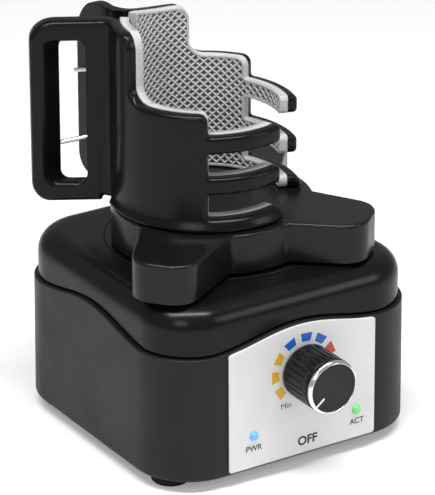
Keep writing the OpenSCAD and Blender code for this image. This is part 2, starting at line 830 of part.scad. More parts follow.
module turret_body(z0, z1, inset) {
    translate([0, 0, z0]) cylinder(r = hub_r - inset, h = z1 - z0, $fn = 96);
    rotate([0, 0, 90]) lobe(lobe_side, z0, z1 - z0, inset);
    rotate([0, 0, 180]) lobe(lobe_mouth, z0, z1 - z0, inset);
    rotate([0, 0, 270]) lobe(lobe_side, z0, z1 - z0, inset);
}

module iso_head() {
    for (i = [0:3]) rotate([0, 0, iso_angle(i)]) translate([iso_dist(i), 0, 0]) children();
}

// Round turret with three lobes, open below, with the seats inside it.
module turret() {
    color("#232427")
    in_head()
    difference() {
        union() {
            difference() {
                turret_body(turret_z, turret_top, 0);
                turret_body(turret_z - 1, turret_in, turret_wall);
            }
            translate([0, 0, bearing_z]) cylinder(r = bearing_r + 4, h = turret_in - bearing_z + 0.5);
            intersection() {
                translate([pivot_x, 0, turret_z + 2]) cylinder(r = 5.5, h = turret_in - turret_z - 1.5);
                translate([0, 0, turret_z]) cylinder(r = hub_r - 1, h = 30);
            }
            iso_head() translate([0, 0, iso_top]) cylinder(r = isolator_r + 1, h = turret_in - iso_top + 0.5);
        }
        translate([0, 0, bearing_z - 1]) cylinder(r = bearing_r, h = bearing_h + 1);
        translate([0, 0, bearing_z]) cylinder(r = 7.5, h = bearing_h + 3.2);
        translate([pivot_x, 0, turret_z]) cylinder(r = pin_r, h = 40);
        translate([jaw_x, 0, turret_top - seat_depth]) cylinder(r = seat_r, h = 3);
        for (a = [60, 180, 300]) rotate([0, 0, a])
            translate([bearing_r + 2, 0, bearing_z - 1]) cylinder(r = 1, h = 8);
    }
}

module head_bearing() {
    color("#c8cacc")
    in_head() translate([0, 0, bearing_z])
    difference() {
        cylinder(r = bearing_r, h = bearing_h);
        translate([0, 0, -1]) cylinder(r = crank_pin_r + run_fit, h = bearing_h + 2);
        for (z = [-1, bearing_h - 1]) translate([0, 0, z]) difference() {
            cylinder(r = bearing_r - 1.8, h = 2);
            translate([0, 0, -1]) cylinder(r = crank_pin_r + 2, h = 4);
        }
    }
}

module bearing_retainer() {
    color("#b4b7ba")
    in_head() translate([0, 0, bearing_z - retainer_t])
    difference() {
        cylinder(r = bearing_r + 4, h = retainer_t);
        translate([0, 0, -1]) cylinder(r = 9, h = retainer_t + 2);
        for (a = [60, 180, 300]) rotate([0, 0, a]) translate([bearing_r + 2, 0, -1]) {
            cylinder(r = 1.1, h = 5);
            cylinder(r = 1.9, h = 1.8);
        }
    }
}

module retainer_screws() {
    color("silver")
    in_head()
    for (a = [60, 180, 300]) rotate([0, 0, a]) translate([bearing_r + 2, 0, bearing_z - retainer_t]) {
        translate([0, 0, 0.1]) cylinder(r = 1.8, h = 0.7);
        translate([0, 0, 0.5]) cylinder(r = 1, h = 6.5);
    }
}

pin_top = rear_top + 1.2;
module pivot_pin() {
    color("silver")
    in_head() translate([pivot_x, 0, turret_z + 3]) cylinder(r = pin_r, h = pin_top - turret_z - 3);
}

module pin_cap() {
    color("#333333")
    in_head() translate([pivot_x, 0, knuckle_z[3][1] + 0.2])
    difference() {
        cylinder(r = 3.6, h = pin_top + 0.8 - knuckle_z[3][1] - 0.2);
        translate([0, 0, -1]) cylinder(r = pin_r, h = pin_top + 1 - knuckle_z[3][1] - 0.2);
    }
}

// Heights of the hinge knuckles: front, rear, rear, front.
low_split = jaw_z + 0.148 * hinge_h;
top_split = coil_z1 + 0.54 * (hinge_top - coil_z1);
knuckle_z = [[jaw_z, low_split], [low_split + 0.3, coil_z0 - 2.4],
    [coil_z1 + 2.4, top_split], [top_split + 0.3, hinge_top]];

// A part of the jaw ring from angle a0 to a1.
module sector(r0, r1, a0, a1, z0, z1) {
    translate([jaw_x, 0, z0]) rotate([0, 0, a0])
        rotate_extrude(angle = a1 - a0, $fn = 96)
            translate([r0, 0]) square([r1 - r0, z1 - z0]);
}

// A jaw unrolled: its top falls to a rounded corner, drops to the low wall
// with a hollow foot, and runs on. Angles become widths at the wall's middle.
drop_foot = 5.5;
foot_da = 7.5;
function flat_out(p, mid) = let (r = jaw_r - jaw_wall / 2) [for (q = p) [r * sin(q[0] - mid), q[1]]];

module top_profile(start, a1, z0, z1, ca, cz, low, mid) {
    high = z0 + 20;
    zc = max(z1 - cz, low + drop_foot + 1);
    translate([jaw_x, 0, 0]) rotate([0, 0, mid]) rotate([90, 0, 90])
        linear_extrude(jaw_r + 14)
            polygon(concat(
                flat_out(concat([[start - 10, high], [start - 10, z0]],
                    [for (i = [0:8]) let (f = 90 * i / 8) [a1 - ca + ca * sin(f), zc + (z1 - zc) * cos(f)]],
                    [for (i = [0:4]) let (f = 90 * i / 4)
                        [a1 + foot_da - foot_da * cos(f), low + drop_foot - drop_foot * sin(f)]]), mid),
                [[60, low], [60, high]]));
}

function finger_z(i) = [finger_top - i * finger_pitch - (i == 2 ? finger_top - 2 * finger_pitch - jaw_z : finger_h),
    finger_top - i * finger_pitch];

// A jaw or its pad: a part of a ring cut down to its profile and its fingers.
// g is how far the pad stands above the edges of the jaw.
module band(r0, r1, start, drop, tip, z0, z1, ca, cz, g) {
    ga = g * 180 / (PI * r0);
    high = max(z0, z1) + 22;
    difference() {
        sector(r0, r1, start, tip - (g > 0 ? 0.6 : 0), jaw_z, max(z0, z1) + 1);
        top_profile(start, drop + ga, z0, z1, ca, cz, wall_top + g, drop - 2);
        sector(r0 - 3, r1 + 3, wall_end + ga, tip + 6, finger_z(0)[1] + g, high);
        for (i = [0:1])
            sector(r0 - 3, r1 + 3, wall_end + ga, tip + 6, finger_z(i + 1)[1] + g, finger_z(i)[0] - g);
    }
}

module knuckle(i, s) {
    z = knuckle_z[i];
    translate([pivot_x, 0, z[0]]) cylinder(r = knuckle_r, h = z[1] - z[0]);
    translate([pivot_x - 1.6, s > 0 ? 0 : -8.2, z[0]]) cube([5.2, s > 0 ? 9.2 : 8.2, z[1] - z[0]]);
}

module knuckle_bores(a, b) {
    for (i = [a, b])
        translate([pivot_x, 0, knuckle_z[i][0] - 1])
            cylinder(r = pin_r + pin_fit, h = knuckle_z[i][1] - knuckle_z[i][0] + 2);
}

// Handle plate in its own plane: x runs out, y runs up, z runs through it.
module plate_outline(len0, len1, top) {
    rc = plate_corner;
    h = top - plate_z;
    translate([len0, 0, 0]) cube([len1 - rc - len0, h, plate_t]);
    translate([len1 - rc - eps, rc, 0]) cube([rc + eps, h - 2 * rc, plate_t]);
    for (y = [rc, h - rc]) translate([len1 - rc, y, 0]) cylinder(r = rc, h = plate_t);
}

// The outer end of each handle plate below the turret top stays clear of it.
module turret_relief() {
    translate([0, 0, plate_z - 2]) cylinder(r = 47.5, h = jaw_z - plate_z + 2);
}

module front_slot() {
    w = slot_out - slot_in;
    h = slot_z1 - slot_z0;
    rc = slot_corner;
    shear = tan(slot_slant);
    multmatrix([[1, 0, -shear, 0], [0, 1, 0, 0], [0, 0, 1, 0], [0, 0, 0, 1]])
    translate([slot_in, slot_z0 - plate_z, 0]) {
        translate([rc, 0, -1]) cube([w - 2 * rc, h, plate_t + 2]);
        translate([0, rc, -1]) cube([w, h - 2 * rc, plate_t + 2]);
        for (x = [rc, w - rc], y = [rc, h - rc]) translate([x, y, -1]) cylinder(r = rc, h = plate_t + 2);
    }
}

module front_jaw() {
    color("#1a1b1e")
    in_head()
    difference() {
        union() {
            band(jaw_in, jaw_r, front_start, front_drop, front_tip, front_top, front_top, 28, 13.5, 0);
            difference() {
                // the front face of the plate lies on a line through the head middle
                rotate([0, 0, front_dir]) translate([0, 0, plate_z]) rotate([90, 0, 0])
                    difference() {
                        plate_outline(42, front_reach, front_top);
                        front_slot();
                    }
                turret_relief();
            }
            translate([0, 0, jaw_z]) linear_extrude(front_top - jaw_z)
                polygon([[37.9, 7.6], [40.2, 7.6], [45.2, 7.4], [46.4, 12.6], [42.2, 14.6], [39.6, 16.8], [37.6, 16]]);
            knuckle(0, 1);
            knuckle(3, 1);
        }
        knuckle_bores(0, 3);
    }
}

module rear_jaw() {
    color("#1a1b1e")
    in_head()
    difference() {
        union() {
            mirror([0, 1, 0])
                band(jaw_in, jaw_r, rear_start, rear_drop, rear_tip, rear_top, rear_far_top, 6.3, 4.2, 0);
            difference() {
                translate([rear_root[0], rear_root[1], plate_z])
                    rotate([0, 0, -rear_dir]) rotate([90, 0, 0])
                        plate_outline(-0.4, rear_len, rear_top);
                turret_relief();
            }
            translate([0, 0, jaw_z]) linear_extrude(rear_top - jaw_z)
                polygon([[38.6, -6.2], [41.9, -9.4], [41.2, -13.5], [44.6, -10.5], [46.6, -5.6], [44.7, -4.1], [42.2, -5.6]]);
            knuckle(1, -1);
            knuckle(2, -1);
        }
        knuckle_bores(1, 2);
    }
}
rear_root = [44.8, -3.4];

module front_pad() {
    color("#b9b9bb")
    in_head() band(pad_in, jaw_in, front_start, front_drop, front_tip,
        front_top + 0.3, front_top + 0.3, 28, 13.5, pad_proud);
}

module rear_pad() {
    color("#b9b9bb")
    in_head() mirror([0, 1, 0])
        band(pad_in, jaw_in, rear_start, rear_drop, rear_tip,
            rear_top + 0.5, rear_far_top + pad_proud, 6.3, 4.2, pad_proud);
}

// Torsion spring: a leg in, the coil by its formula, a leg out with one bend.
leg_dir = 17.4;
coil_a0 = 90 + leg_dir;
coil_a1 = 295 + 360 * coil_turns;
coil_steps = ceil((coil_a1 - coil_a0) / 45);
function coil_at(a) = [pivot_x + coil_r * cos(a), coil_r * sin(a),
    coil_z0 + (coil_z1 - coil_z0) * (a - coil_a0) / (coil_a1 - coil_a0)];
leg_in = [for (s = [31, 20, 10, 4]) coil_at(coil_a0) + s * [cos(leg_dir), sin(leg_dir), -0.2]];
leg_mid = coil_at(coil_a1) + 6.5 * [cos(25), sin(25), 0];
leg_end = [66.5, -19.45, coil_z1 - 9.5];
leg_out = concat([coil_at(coil_a1) + 3 * [cos(25), sin(25), 0]],
    bend(coil_at(coil_a1) + 4.5 * [cos(25), sin(25), 0], leg_mid,
        leg_mid + 2.5 * unit(leg_end - leg_mid), 4),
    [(leg_mid + leg_end) / 2, leg_end]);
coil = [for (i = [0:coil_steps]) coil_at(coil_a0 + (coil_a1 - coil_a0) * i / coil_steps)];
pitch = 360 * (coil_z1 - coil_z0) / (coil_a1 - coil_a0);
self_gap = min([for (i = [0:coil_steps - 6], j = [i + 6:coil_steps]) norm(coil[i] - coil[j])]) - wire_d;

module torsion_spring() {
    color("#b9bcc0")
    in_head() tube(concat(leg_in, coil, leg_out), wire_d / 2, 6, [0, 0, 1]);
    echo(spring_pitch = pitch, least_gap_to_itself = self_gap);
}

lower_housing();
foot(-foot_x, -foot_y);  // foot_1
foot(foot_x, -foot_y);  // foot_2
foot(-foot_x, foot_y);  // foot_3
foot(foot_x, foot_y);  // foot_4
foot_screws();
top_cover();
cover_screws();
control_panel();
led(power_led_x, power_led_z, "#2a7fff");  // power_led
led(active_led_x, active_led_z, "#2fd14a");  // active_led
control_board();
board_screws();
board_chip();
board_capacitor();
board_mosfet();
board_terminal();
potentiometer();
pot_nut();
motor();
motor_mount();
motor_screws();
mount_screws();
dc_jack();
jack_nut();
motor_leads();
jack_leads();
isolator(0);  // isolator_1
isolator(1);  // isolator_2
isolator(2);  // isolator_3
isolator(3);  // isolator_4
isolator_studs();
speed_knob();
knob_ring();
knob_face();
knob_pointer();
pot_shaft();
knob_screw();
motor_shaft();
crank_hub();
counterweight();
crank_screw();
crank_clip();
turret();
head_bearing();
bearing_retainer();
retainer_screws();
pivot_pin();
pin_cap();
torsion_spring();
front_jaw();
front_pad();
rear_jaw();
rear_pad();
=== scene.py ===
# %% [markdown]
# # A bottle shaker with a clamping head
# The frame comes first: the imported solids, each at its place, in metres. Each visible
# form is then drawn again with soft edges and finishes, and rides on the body of the
# solid that it stands for. Lengths in the cells are millimetres, as on a drawing.

# %% Load the frame
import math
import bmesh
import bpy
import numpy as np
from mathutils import Matrix, Vector


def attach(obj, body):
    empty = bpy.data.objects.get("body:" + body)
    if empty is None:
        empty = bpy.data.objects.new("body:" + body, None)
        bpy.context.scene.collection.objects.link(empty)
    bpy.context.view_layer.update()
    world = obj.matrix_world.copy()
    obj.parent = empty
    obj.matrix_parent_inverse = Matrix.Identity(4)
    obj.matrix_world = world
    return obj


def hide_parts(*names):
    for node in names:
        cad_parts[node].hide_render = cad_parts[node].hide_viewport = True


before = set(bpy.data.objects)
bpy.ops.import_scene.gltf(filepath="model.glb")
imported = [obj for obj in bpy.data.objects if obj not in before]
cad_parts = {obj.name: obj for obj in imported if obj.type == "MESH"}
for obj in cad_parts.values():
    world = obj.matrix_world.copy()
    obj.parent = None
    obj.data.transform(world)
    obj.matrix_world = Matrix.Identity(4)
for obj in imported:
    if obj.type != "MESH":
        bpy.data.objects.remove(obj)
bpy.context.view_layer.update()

scene = bpy.context.scene

# %% [markdown]
# ## Camera
# The angle was worked out from the upright edges and the round rims of the machine.
# A long lens gives the photograph's nearly parallel edges.

# %% Camera at the photograph's angle
turn, tilt = math.radians(-32.631), math.radians(23.758)
back = Vector((math.sin(turn) * math.cos(tilt), -math.cos(turn) * math.cos(tilt), math.sin(tilt)))
right = Vector((math.cos(turn), math.sin(turn), 0))
up = back.cross(right)
camera = bpy.data.objects.new("camera", bpy.data.cameras.new("camera"))
scene.collection.objects.link(camera)
camera.matrix_world = Matrix.Translation((-0.7405, -1.1571, 0.6823)) @ \
    Matrix((right, up, back)).transposed().to_4x4()
camera.data.sensor_fit = "VERTICAL"
camera.data.sensor_height = 36
camera.data.lens = 254.0
camera.data.clip_end = 20
scene.camera = camera
print("camera", [round(v, 3) for v in camera.location])

# %% [markdown]
# ## Ways to make a surface
# Nearly every part here is a moulding: an outline with a soft edge. So one helper
# carries an edge profile round an outline and fills the two ends, and a `place`
# function then lays the sheet flat, stands it up or rolls it round a cylinder.
# A second helper makes a mesh from a plain grid of two parameters.

# %% Helpers: smooth mesh, grid
def finish_mesh(name, bm, even=True):
    """Merge, point outwards, shade smooth; faces are even where they are flat."""
    bmesh.ops.remove_doubles(bm, verts=bm.verts, dist=2e-6)
    bmesh.ops.dissolve_degenerate(bm, edges=bm.edges, dist=1e-7)
    bmesh.ops.recalc_face_normals(bm, faces=bm.faces)
    mesh = bpy.data.meshes.new(name)
    bm.to_mesh(mesh)
    bm.free()
    mesh.polygons.foreach_set("use_smooth", [True] * len(mesh.polygons))
    piece = bpy.data.objects.new(name, mesh)
    scene.collection.objects.link(piece)
    if even:
        piece.modifiers.new("even faces", "WEIGHTED_NORMAL").keep_sharp = True
    print(name, len(mesh.polygons), "faces")
    return piece


def grid(name, points, round_u=True, round_v=False, caps=False, even=False):
    """points[i, j] is the surface at (u_i, v_j) in mm; a round direction joins its ends."""
    nu, nv = points.shape[:2]
    ids = np.arange(nu * nv).reshape(nu, nv)
    i = np.arange(nu if round_u else nu - 1)
    j = np.arange(nv if round_v else nv - 1)
    a, b = np.meshgrid(i, j, indexing="ij")
    a2, b2 = (a + 1) % nu, (b + 1) % nv
    quads = np.stack([ids[a, b], ids[a2, b], ids[a2, b2], ids[a, b2]], -1).reshape(-1, 4)
    faces = quads.tolist()
    if caps:
        faces += [ids[::-1, 0].tolist(), ids[:, -1].tolist()]
    mesh = bpy.data.meshes.new(name)
    mesh.from_pydata((points.reshape(-1, 3) / 1000).tolist(), [], faces)
    bm = bmesh.new()
    bm.from_mesh(mesh)
    bpy.data.meshes.remove(mesh)
    return finish_mesh(name, bm, even)


# %% Helpers: outlines and edges
def inward(loop, d):
    """Each corner moves d to the left of the loop's way, along the mitre of its two edges."""
    e1 = loop - np.roll(loop, 1, 0)
    e2 = np.roll(loop, -1, 0) - loop
    n1 = np.stack([-e1[:, 1], e1[:, 0]], 1) / np.linalg.norm(e1, axis=1)[:, None]
    n2 = np.stack([-e2[:, 1], e2[:, 0]], 1) / np.linalg.norm(e2, axis=1)[:, None]
    return loop + d * (n1 + n2) / np.maximum(1 + (n1 * n2).sum(1), 0.35)[:, None]


def arc(cx, cy, rx, ry, a0, a1, n=6):
    """Points of an ellipse arc: (cx + rx cos a, cy + ry sin a), a in degrees."""
    a = np.radians(np.linspace(a0, a1, n + 1))
    return np.stack([cx + rx * np.cos(a), cy + ry * np.sin(a)], 1)


def outline(*parts):
    """Joins points and arcs into one loop and drops repeated points."""
    p = np.vstack([np.atleast_2d(q) for q in parts]).astype(float)
    keep = np.linalg.norm(p - np.roll(p, 1, 0), axis=1) > 0.02
    return p[keep]


def soft_edge(thick, front, rear):
    """Edge profile as (inset, depth): a quarter circle, the side, a quarter circle."""
    a = np.radians(np.linspace(0, 90, 5))
    low = [(rear * (1 - math.sin(t)), -thick / 2 + rear * (1 - math.cos(t))) for t in a]
    high = [(front * (1 - math.cos(t)), thick / 2 - front * (1 - math.sin(t))) for t in a]
    return low + high


def moulding(name, loops, profile, place, step=None, slant=0.0, even=True, pocket=None):
    """The profile (inset, depth) is carried round each loop, the two ends are filled,
    and place(u, v, w) gives the mm position. The first loop runs anticlockwise and
    its holes clockwise; slant leans the holes along u as they go in. A pocket is a
    loop and a depth, sunk into the last end."""
    bm = bmesh.new()
    top = profile[-1][1]
    for end in ("rings", 0, -1):
        if end == "rings":
            sides = []
            for k, loop in enumerate(loops):
                rings = []
                for inset, depth in profile:
                    flat = inward(loop, inset) if abs(inset) > 1e-9 else loop
                    lean = slant * (top - depth) if k else 0.0
                    rings.append([bm.verts.new((x + lean, y, depth)) for x, y in flat])
                for r0, r1 in zip(rings, rings[1:]):
                    for i in range(len(r0)):
                        j = (i + 1) % len(r0)
                        bm.faces.new((r0[i], r0[j], r1[j], r1[i]))
                sides.append(rings)
        else:
            edges = []
            for rings in sides:
                ring = rings[end]
                edges += [bm.edges.get((ring[i], ring[(i + 1) % len(ring)])) for i in range(len(ring))]
            if pocket and end == -1:
                wells = [[bm.verts.new((x, y, top - d)) for x, y in inward(pocket[0], i)]
                         for i, d in ((0, 0), (0.2, 0.2), (0.2, pocket[1]))]
                n = len(wells[0])
                for r0, r1 in zip(wells, wells[1:]):
                    for i in range(n):
                        bm.faces.new((r0[i], r0[(i + 1) % n], r1[(i + 1) % n], r1[i]))
                bm.faces.new(wells[-1])
                edges += [bm.edges.get((wells[0][i], wells[0][(i + 1) % n])) for i in range(n)]
            bmesh.ops.triangle_fill(bm, use_beauty=True, edges=edges,
                                    normal=(0, 0, 1 if end == -1 else -1))
    if step:
        xs = [v.co.x for v in bm.verts]
        for x in np.arange(math.floor(min(xs) / step) * step + step, max(xs), step):
            bmesh.ops.bisect_plane(bm, geom=bm.verts[:] + bm.edges[:] + bm.faces[:],
                                   plane_co=(x, 0, 0), plane_no=(1, 0, 0), dist=1e-5)
    co = np.array([v.co for v in bm.verts])
    moved = place(co[:, 0], co[:, 1], co[:, 2]) / 1000
    for v, p in zip(bm.verts, moved.tolist()):
        v.co = p
    return finish_mesh(name, bm, even)


def upright(u, v, w):
    """Plain place: the outline lies level and its depth is the height."""
    return np.stack([u, v, w], -1)


# %% [markdown]
# ## Finishes
# The machine is moulded in black ABS with a fine spark-eroded texture. Such a skin
# is dark, has a broad soft gloss and a very small bump. The blacks differ a little:
# the base is the greyest and roughest, the cover, head and jaws are smoother, and the
# knob is the glossiest. Every finish is a network of noise in Object coordinates, so
# that it looks the same on each piece.

# %% Helper: plastic, rubber and metal from one network
def finish(name, colour, rough, grain=0.00018, bump=0.05, metal=0.0, spread=0.12, coat=0.0,
           patches=0.02, gloss=0.5):
    """Base colour varies by `spread` over `patches` metres; bump has `grain` metres."""
    m = bpy.data.materials.new(name)
    m.use_nodes = True
    nodes, links = m.node_tree.nodes, m.node_tree.links
    shader = nodes["Principled BSDF"]
    shader.inputs["Metallic"].default_value = metal
    shader.inputs["Coat Weight"].default_value = coat
    shader.inputs["Coat Roughness"].default_value = 0.12
    shader.inputs["Specular IOR Level"].default_value = gloss
    spot = nodes.new("ShaderNodeTexCoord")

    def noise(size, detail):
        n = nodes.new("ShaderNodeTexNoise")
        n.inputs["Scale"].default_value = 1 / size
        n.inputs["Detail"].default_value = detail
        links.new(spot.outputs["Object"], n.inputs["Vector"])
        return n.outputs["Fac"]

    def ramp(value, lo, hi):
        r = nodes.new("ShaderNodeMapRange")
        r.inputs["From Min"].default_value, r.inputs["From Max"].default_value = 0.3, 0.7
        r.inputs["To Min"].default_value, r.inputs["To Max"].default_value = lo, hi
        links.new(value, r.inputs["Value"])
        return r.outputs["Result"]

    mix = nodes.new("ShaderNodeMix")
    mix.data_type = "RGBA"
    mix.inputs["A"].default_value = (*[c * (1 - spread) for c in colour], 1)
    mix.inputs["B"].default_value = (*[c * (1 + spread) for c in colour], 1)
    links.new(ramp(noise(patches, 3), 0, 1), mix.inputs["Factor"])
    links.new(mix.outputs["Result"], shader.inputs["Base Color"])
    links.new(ramp(noise(patches * 0.6, 4), rough * 0.88, rough * 1.12), shader.inputs["Roughness"])
    if bump:
        b = nodes.new("ShaderNodeBump")
        b.inputs["Strength"].default_value = bump
        b.inputs["Distance"].default_value = grain
        links.new(noise(grain * 2, 2), b.inputs["Height"])
        links.new(b.outputs["Normal"], shader.inputs["Normal"])
    return m


def dress(piece, material, body=None, nodes=()):
    """Gives a piece its finish, the body it rides on, and the solids it stands for."""
    piece.data.materials.clear()
    piece.data.materials.append(material)
    if body:
        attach(piece, body)
    if nodes:
        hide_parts(*nodes)
    return piece


# %% The finishes
base_black = finish("base_black", (0.0088, 0.0088, 0.0106), 0.42, grain=0.00022, bump=0.05, gloss=0.26)
cover_black = finish("cover_black", (0.0050, 0.0050, 0.0062), 0.24, grain=0.00020, bump=0.015, gloss=0.20)
head_black = finish("head_black", (0.0060, 0.0061, 0.0074), 0.26, grain=0.00020, bump=0.012, gloss=0.28)
jaw_black = finish("jaw_black", (0.0042, 0.0043, 0.0054), 0.24, grain=0.00020, bump=0.010, gloss=0.19)
knob_black = finish("knob_black", (0.0040, 0.0040, 0.0045), 0.22, bump=0.0, gloss=0.3)
pad_grey = finish("pad_grey", (0.50, 0.50, 0.505), 0.62, grain=0.0003, bump=0.12, spread=0.05)
# darker grey for the sunk floor of the pads: painted shade between the ridges
pad_floor_shade = finish("pad_floor_shade", (0.13, 0.13, 0.135), 0.75, grain=0.0003, bump=0.12, spread=0.08)
foot_rubber = finish("foot_rubber", (0.010, 0.010, 0.010), 0.75, grain=0.0004, bump=0.1, gloss=0.2)
steel = finish("bright_steel", (0.62, 0.63, 0.65), 0.20, metal=1, bump=0.02, spread=0.06, patches=0.004)
zinc = finish("zinc_plate", (0.48, 0.49, 0.50), 0.36, metal=1, bump=0.05, spread=0.10, patches=0.004)
ring_metal = finish("ring_metal", (0.86, 0.86, 0.87), 0.16, metal=1, bump=0.01, spread=0.03, patches=0.003)
board_green = finish("board_green", (0.015, 0.115, 0.045), 0.42, bump=0.03, spread=0.2, patches=0.008)
part_black = finish("part_black", (0.018, 0.018, 0.019), 0.45, bump=0.04)
can_blue = finish("can_blue", (0.03, 0.05, 0.14), 0.35, bump=0.02)
lead_red = finish("lead_red", (0.45, 0.02, 0.02), 0.45, bump=0.03)
isolator_rubber = finish("isolator_rubber", (0.02, 0.02, 0.02), 0.8, grain=0.0004, bump=0.2)
white_paint = finish("white_paint", (0.86, 0.86, 0.86), 0.45, bump=0.02, spread=0.02)
print("finishes:", len(bpy.data.materials))

# %% [markdown]
# ## Housing and cover
# The base is a square tub with large round corners. Its rim rises in a low arch in
# the middle of each side and the cover follows it, with a thin dark joint between.
# A corner centre C and a direction N describe every point of such a wall:
# C + radius x N. The corner radius then carries the whole profile, fillets included.

# %% Housing values and the square path
corner, corner_r, base_half = 39.0, 26, 65.0
seam_low, seam_rise, seam_half = 61.3, 6.2, 44.0
foot_h, floor_top, cover_top = 5, 7.5, 82.2
lean_angle = math.radians(0.52)
lean = math.tan(lean_angle)


def square_path(flat=22, turn_steps=14):
    """Corner centres C and outward directions N, once round, anticlockwise."""
    c, n = [], []
    for k in range(4):
        a0 = math.radians(90 * k)
        side = np.linspace(-corner, corner, flat, endpoint=False)
        out = np.array([math.cos(a0), math.sin(a0)])
        along = np.array([-out[1], out[0]])
        c += [out * corner + along * s for s in side]
        n += [out] * flat
        for a in np.linspace(a0, a0 + math.pi / 2, turn_steps, endpoint=False):
            c.append((out + along) * corner)
            n.append(np.array([math.cos(a), math.sin(a)]))
    return np.array(c), np.array(n)


def seam(x, y):
    """Height of the joint: a raised cosine across the middle 88 mm of each side."""
    def rise(t):
        share = np.minimum(1, np.abs(t) / seam_half)
        return seam_low + seam_rise * (0.5 + 0.5 * np.cos(np.pi * share))
    return np.maximum(rise(x), rise(y))


centre, outwards = square_path()
wall_at = centre + outwards * 25.5
joint = seam(wall_at[:, 0], wall_at[:, 1])


def ring(radius, height):
    """The path at one corner radius; height may vary along it."""
    xy = centre + outwards * radius
    return np.column_stack([xy, np.broadcast_to(height, len(xy))])


def wall_radius(z):
    """The corner radius shrinks with height, which gives the walls their lean."""
    return corner_r - lean * (z - foot_h)


# %% Housing walls
fil, rim_r, floor_r = 1.8, 0.6, 20
rings = [ring(floor_r, foot_h)]
for a in np.radians(np.linspace(-90, 0, 7)):
    rings.append(ring(wall_radius(foot_h + fil) - fil + fil * math.cos(a),
                      foot_h + fil + fil * math.sin(a)))
for f in np.linspace(0.12, 1, 8):
    z = foot_h + fil + f * (joint - rim_r - foot_h - fil)
    rings.append(np.column_stack([centre + outwards * wall_radius(z)[:, None], z]))
for a in np.radians((22, 45, 68, 90)):
    rim_at = wall_radius(joint) - rim_r + rim_r * math.cos(a)
    rings.append(np.column_stack([centre + outwards * rim_at[:, None],
                                  joint - rim_r + rim_r * math.sin(a)]))
for r, z in ((23.2, joint), (22.9, joint - 0.3), (22.85, 40), (23.2, floor_top), (floor_r, floor_top)):
    rings.append(ring(r, z))
housing = grid("housing_walls", np.stack(rings, 1), round_v=True, even=True)
dress(housing, base_black, "base", ["lower_housing"])


# %% Floor of the housing, with the holes for the cover screws
def circle(cx, cy, r, n=32, clockwise=False):
    a = np.linspace(0, 360, n, endpoint=False)
    a = np.radians(a[::-1] if clockwise else a)
    return np.stack([cx + r * np.cos(a), cy + r * np.sin(a)], 1)


floor_loop = centre + outwards * floor_r
holes = [circle(x, y, 3.2, clockwise=True) for x in (-38, 38) for y in (-51, 51)]
floor_plate = moulding("housing_floor", [outline(floor_loop)] + holes,
                       [(0, foot_h), (0, floor_top)], upright)
dress(floor_plate, base_black, "base")

# %% Cover: one closed surface from the inside of its wall, over the top, to the hole
# A fine circular groove about groove_at runs round the head.
cover_joint = joint + 0.6
cover_face, cover_fillet, lip_r, under = 23.64, 10, 0.5, 79.6
side_top = cover_top - cover_fillet
rings = [ring(21.0, under - 3), ring(21.0, cover_joint + 0.3), ring(21.3, cover_joint)]
for a in np.radians((-90, -60, -30, 0)):
    rings.append(ring(cover_face - lip_r + lip_r * math.cos(a),
                      cover_joint + lip_r + lip_r * math.sin(a)))
for f in np.linspace(0.25, 1, 4):
    rings.append(ring(cover_face, cover_joint + lip_r + f * (side_top - cover_joint - lip_r)))
for a in np.radians(np.linspace(0, 90, 15)[1:]):
    rings.append(ring(cover_face - cover_fillet + cover_fillet * math.cos(a),
                      side_top + cover_fillet * math.sin(a)))
rings.append(ring(10, cover_top))
groove_at, groove_low = (1.5, 4), 0.5


def about(point, profile):
    """Adds circles about a point; each profile entry is a radius and a height."""
    away = np.arctan2(wall_at[:, 1] - point[1], wall_at[:, 0] - point[0])
    for r, z in profile:
        rings.append(np.column_stack([point[0] + r * np.cos(away), point[1] + r * np.sin(away),
                                      np.full(len(away), z)]))


about(groove_at, ((48.0, cover_top), (47.8, cover_top - 0.05), (47.75, cover_top - groove_low),
                  (47.35, cover_top - groove_low), (47.3, cover_top - 0.05), (47.1, cover_top),
                  (40, cover_top)))
about((0, 0), ((14.5, cover_top), (14, cover_top - 0.5), (14, under), (30, under), (45, 79.0)))
cover = grid("cover_shell", np.stack(rings, 1), round_v=True, even=True)
dress(cover, cover_black, "base", ["top_cover"])

# %% [markdown]
# ## Feet
# Four soft feet with a rolled edge and a dished middle, turned from one profile.


# %% Turned pieces: a profile spun about an axis
def turned(name, profile, at, axis="z", n=48, ripple=None, even=False):
    """Radius and height pairs spun once; ripple(angle, radius, height) may cut flutes."""
    a = np.linspace(0, 2 * np.pi, n, endpoint=False)
    r, h = np.array(profile, float).T
    rr = np.broadcast_to(r, (n, len(r)))
    if ripple:
        rr = ripple(a[:, None], rr, h[None])
    x, y, z = rr * np.cos(a)[:, None], rr * np.sin(a)[:, None], np.broadcast_to(h, (n, len(h)))
    if axis == "-y":
        x, y, z = x, -z, y
    p = np.stack([at[0] + x, at[1] + y, at[2] + z], -1)
    return grid(name, p, even=even, caps=True)


foot_side = [(5.2, 1.2), (6.0, 0.25), (7.0, 0.0), (7.8, 0.15), (8.3, 0.7), (8.5, 1.6), (8.6, foot_h)]
for k, (x, y) in enumerate(((-51.5, -44.5), (51.5, -44.5), (-51.5, 44.5), (51.5, 44.5))):
    foot = turned(f"foot_pad_{k + 1}", foot_side, (x, y, 0))
    dress(foot, foot_rubber, "base", [f"foot_{k + 1}"])

# %% [markdown]
# ## Control panel
# A pale plate on the leaning front wall, with the same arch along its top. The dial
# marks are inlaid colour: three yellow, three blue and three red, as on a warmth scale.

# %% Panel plate
panel_v = np.array([0, math.sin(lean_angle), math.cos(lean_angle)])
panel_n = np.array([0, -math.cos(lean_angle), math.sin(lean_angle)])


def on_panel(u, v, w):
    """u across, v up the leaning wall, w out of it; v is 0 at the height of the floor."""
    across = u[:, None] * np.array([1, 0, 0])
    return np.array([0, -base_half, foot_h]) + across + v[:, None] * panel_v + w[:, None] * panel_n


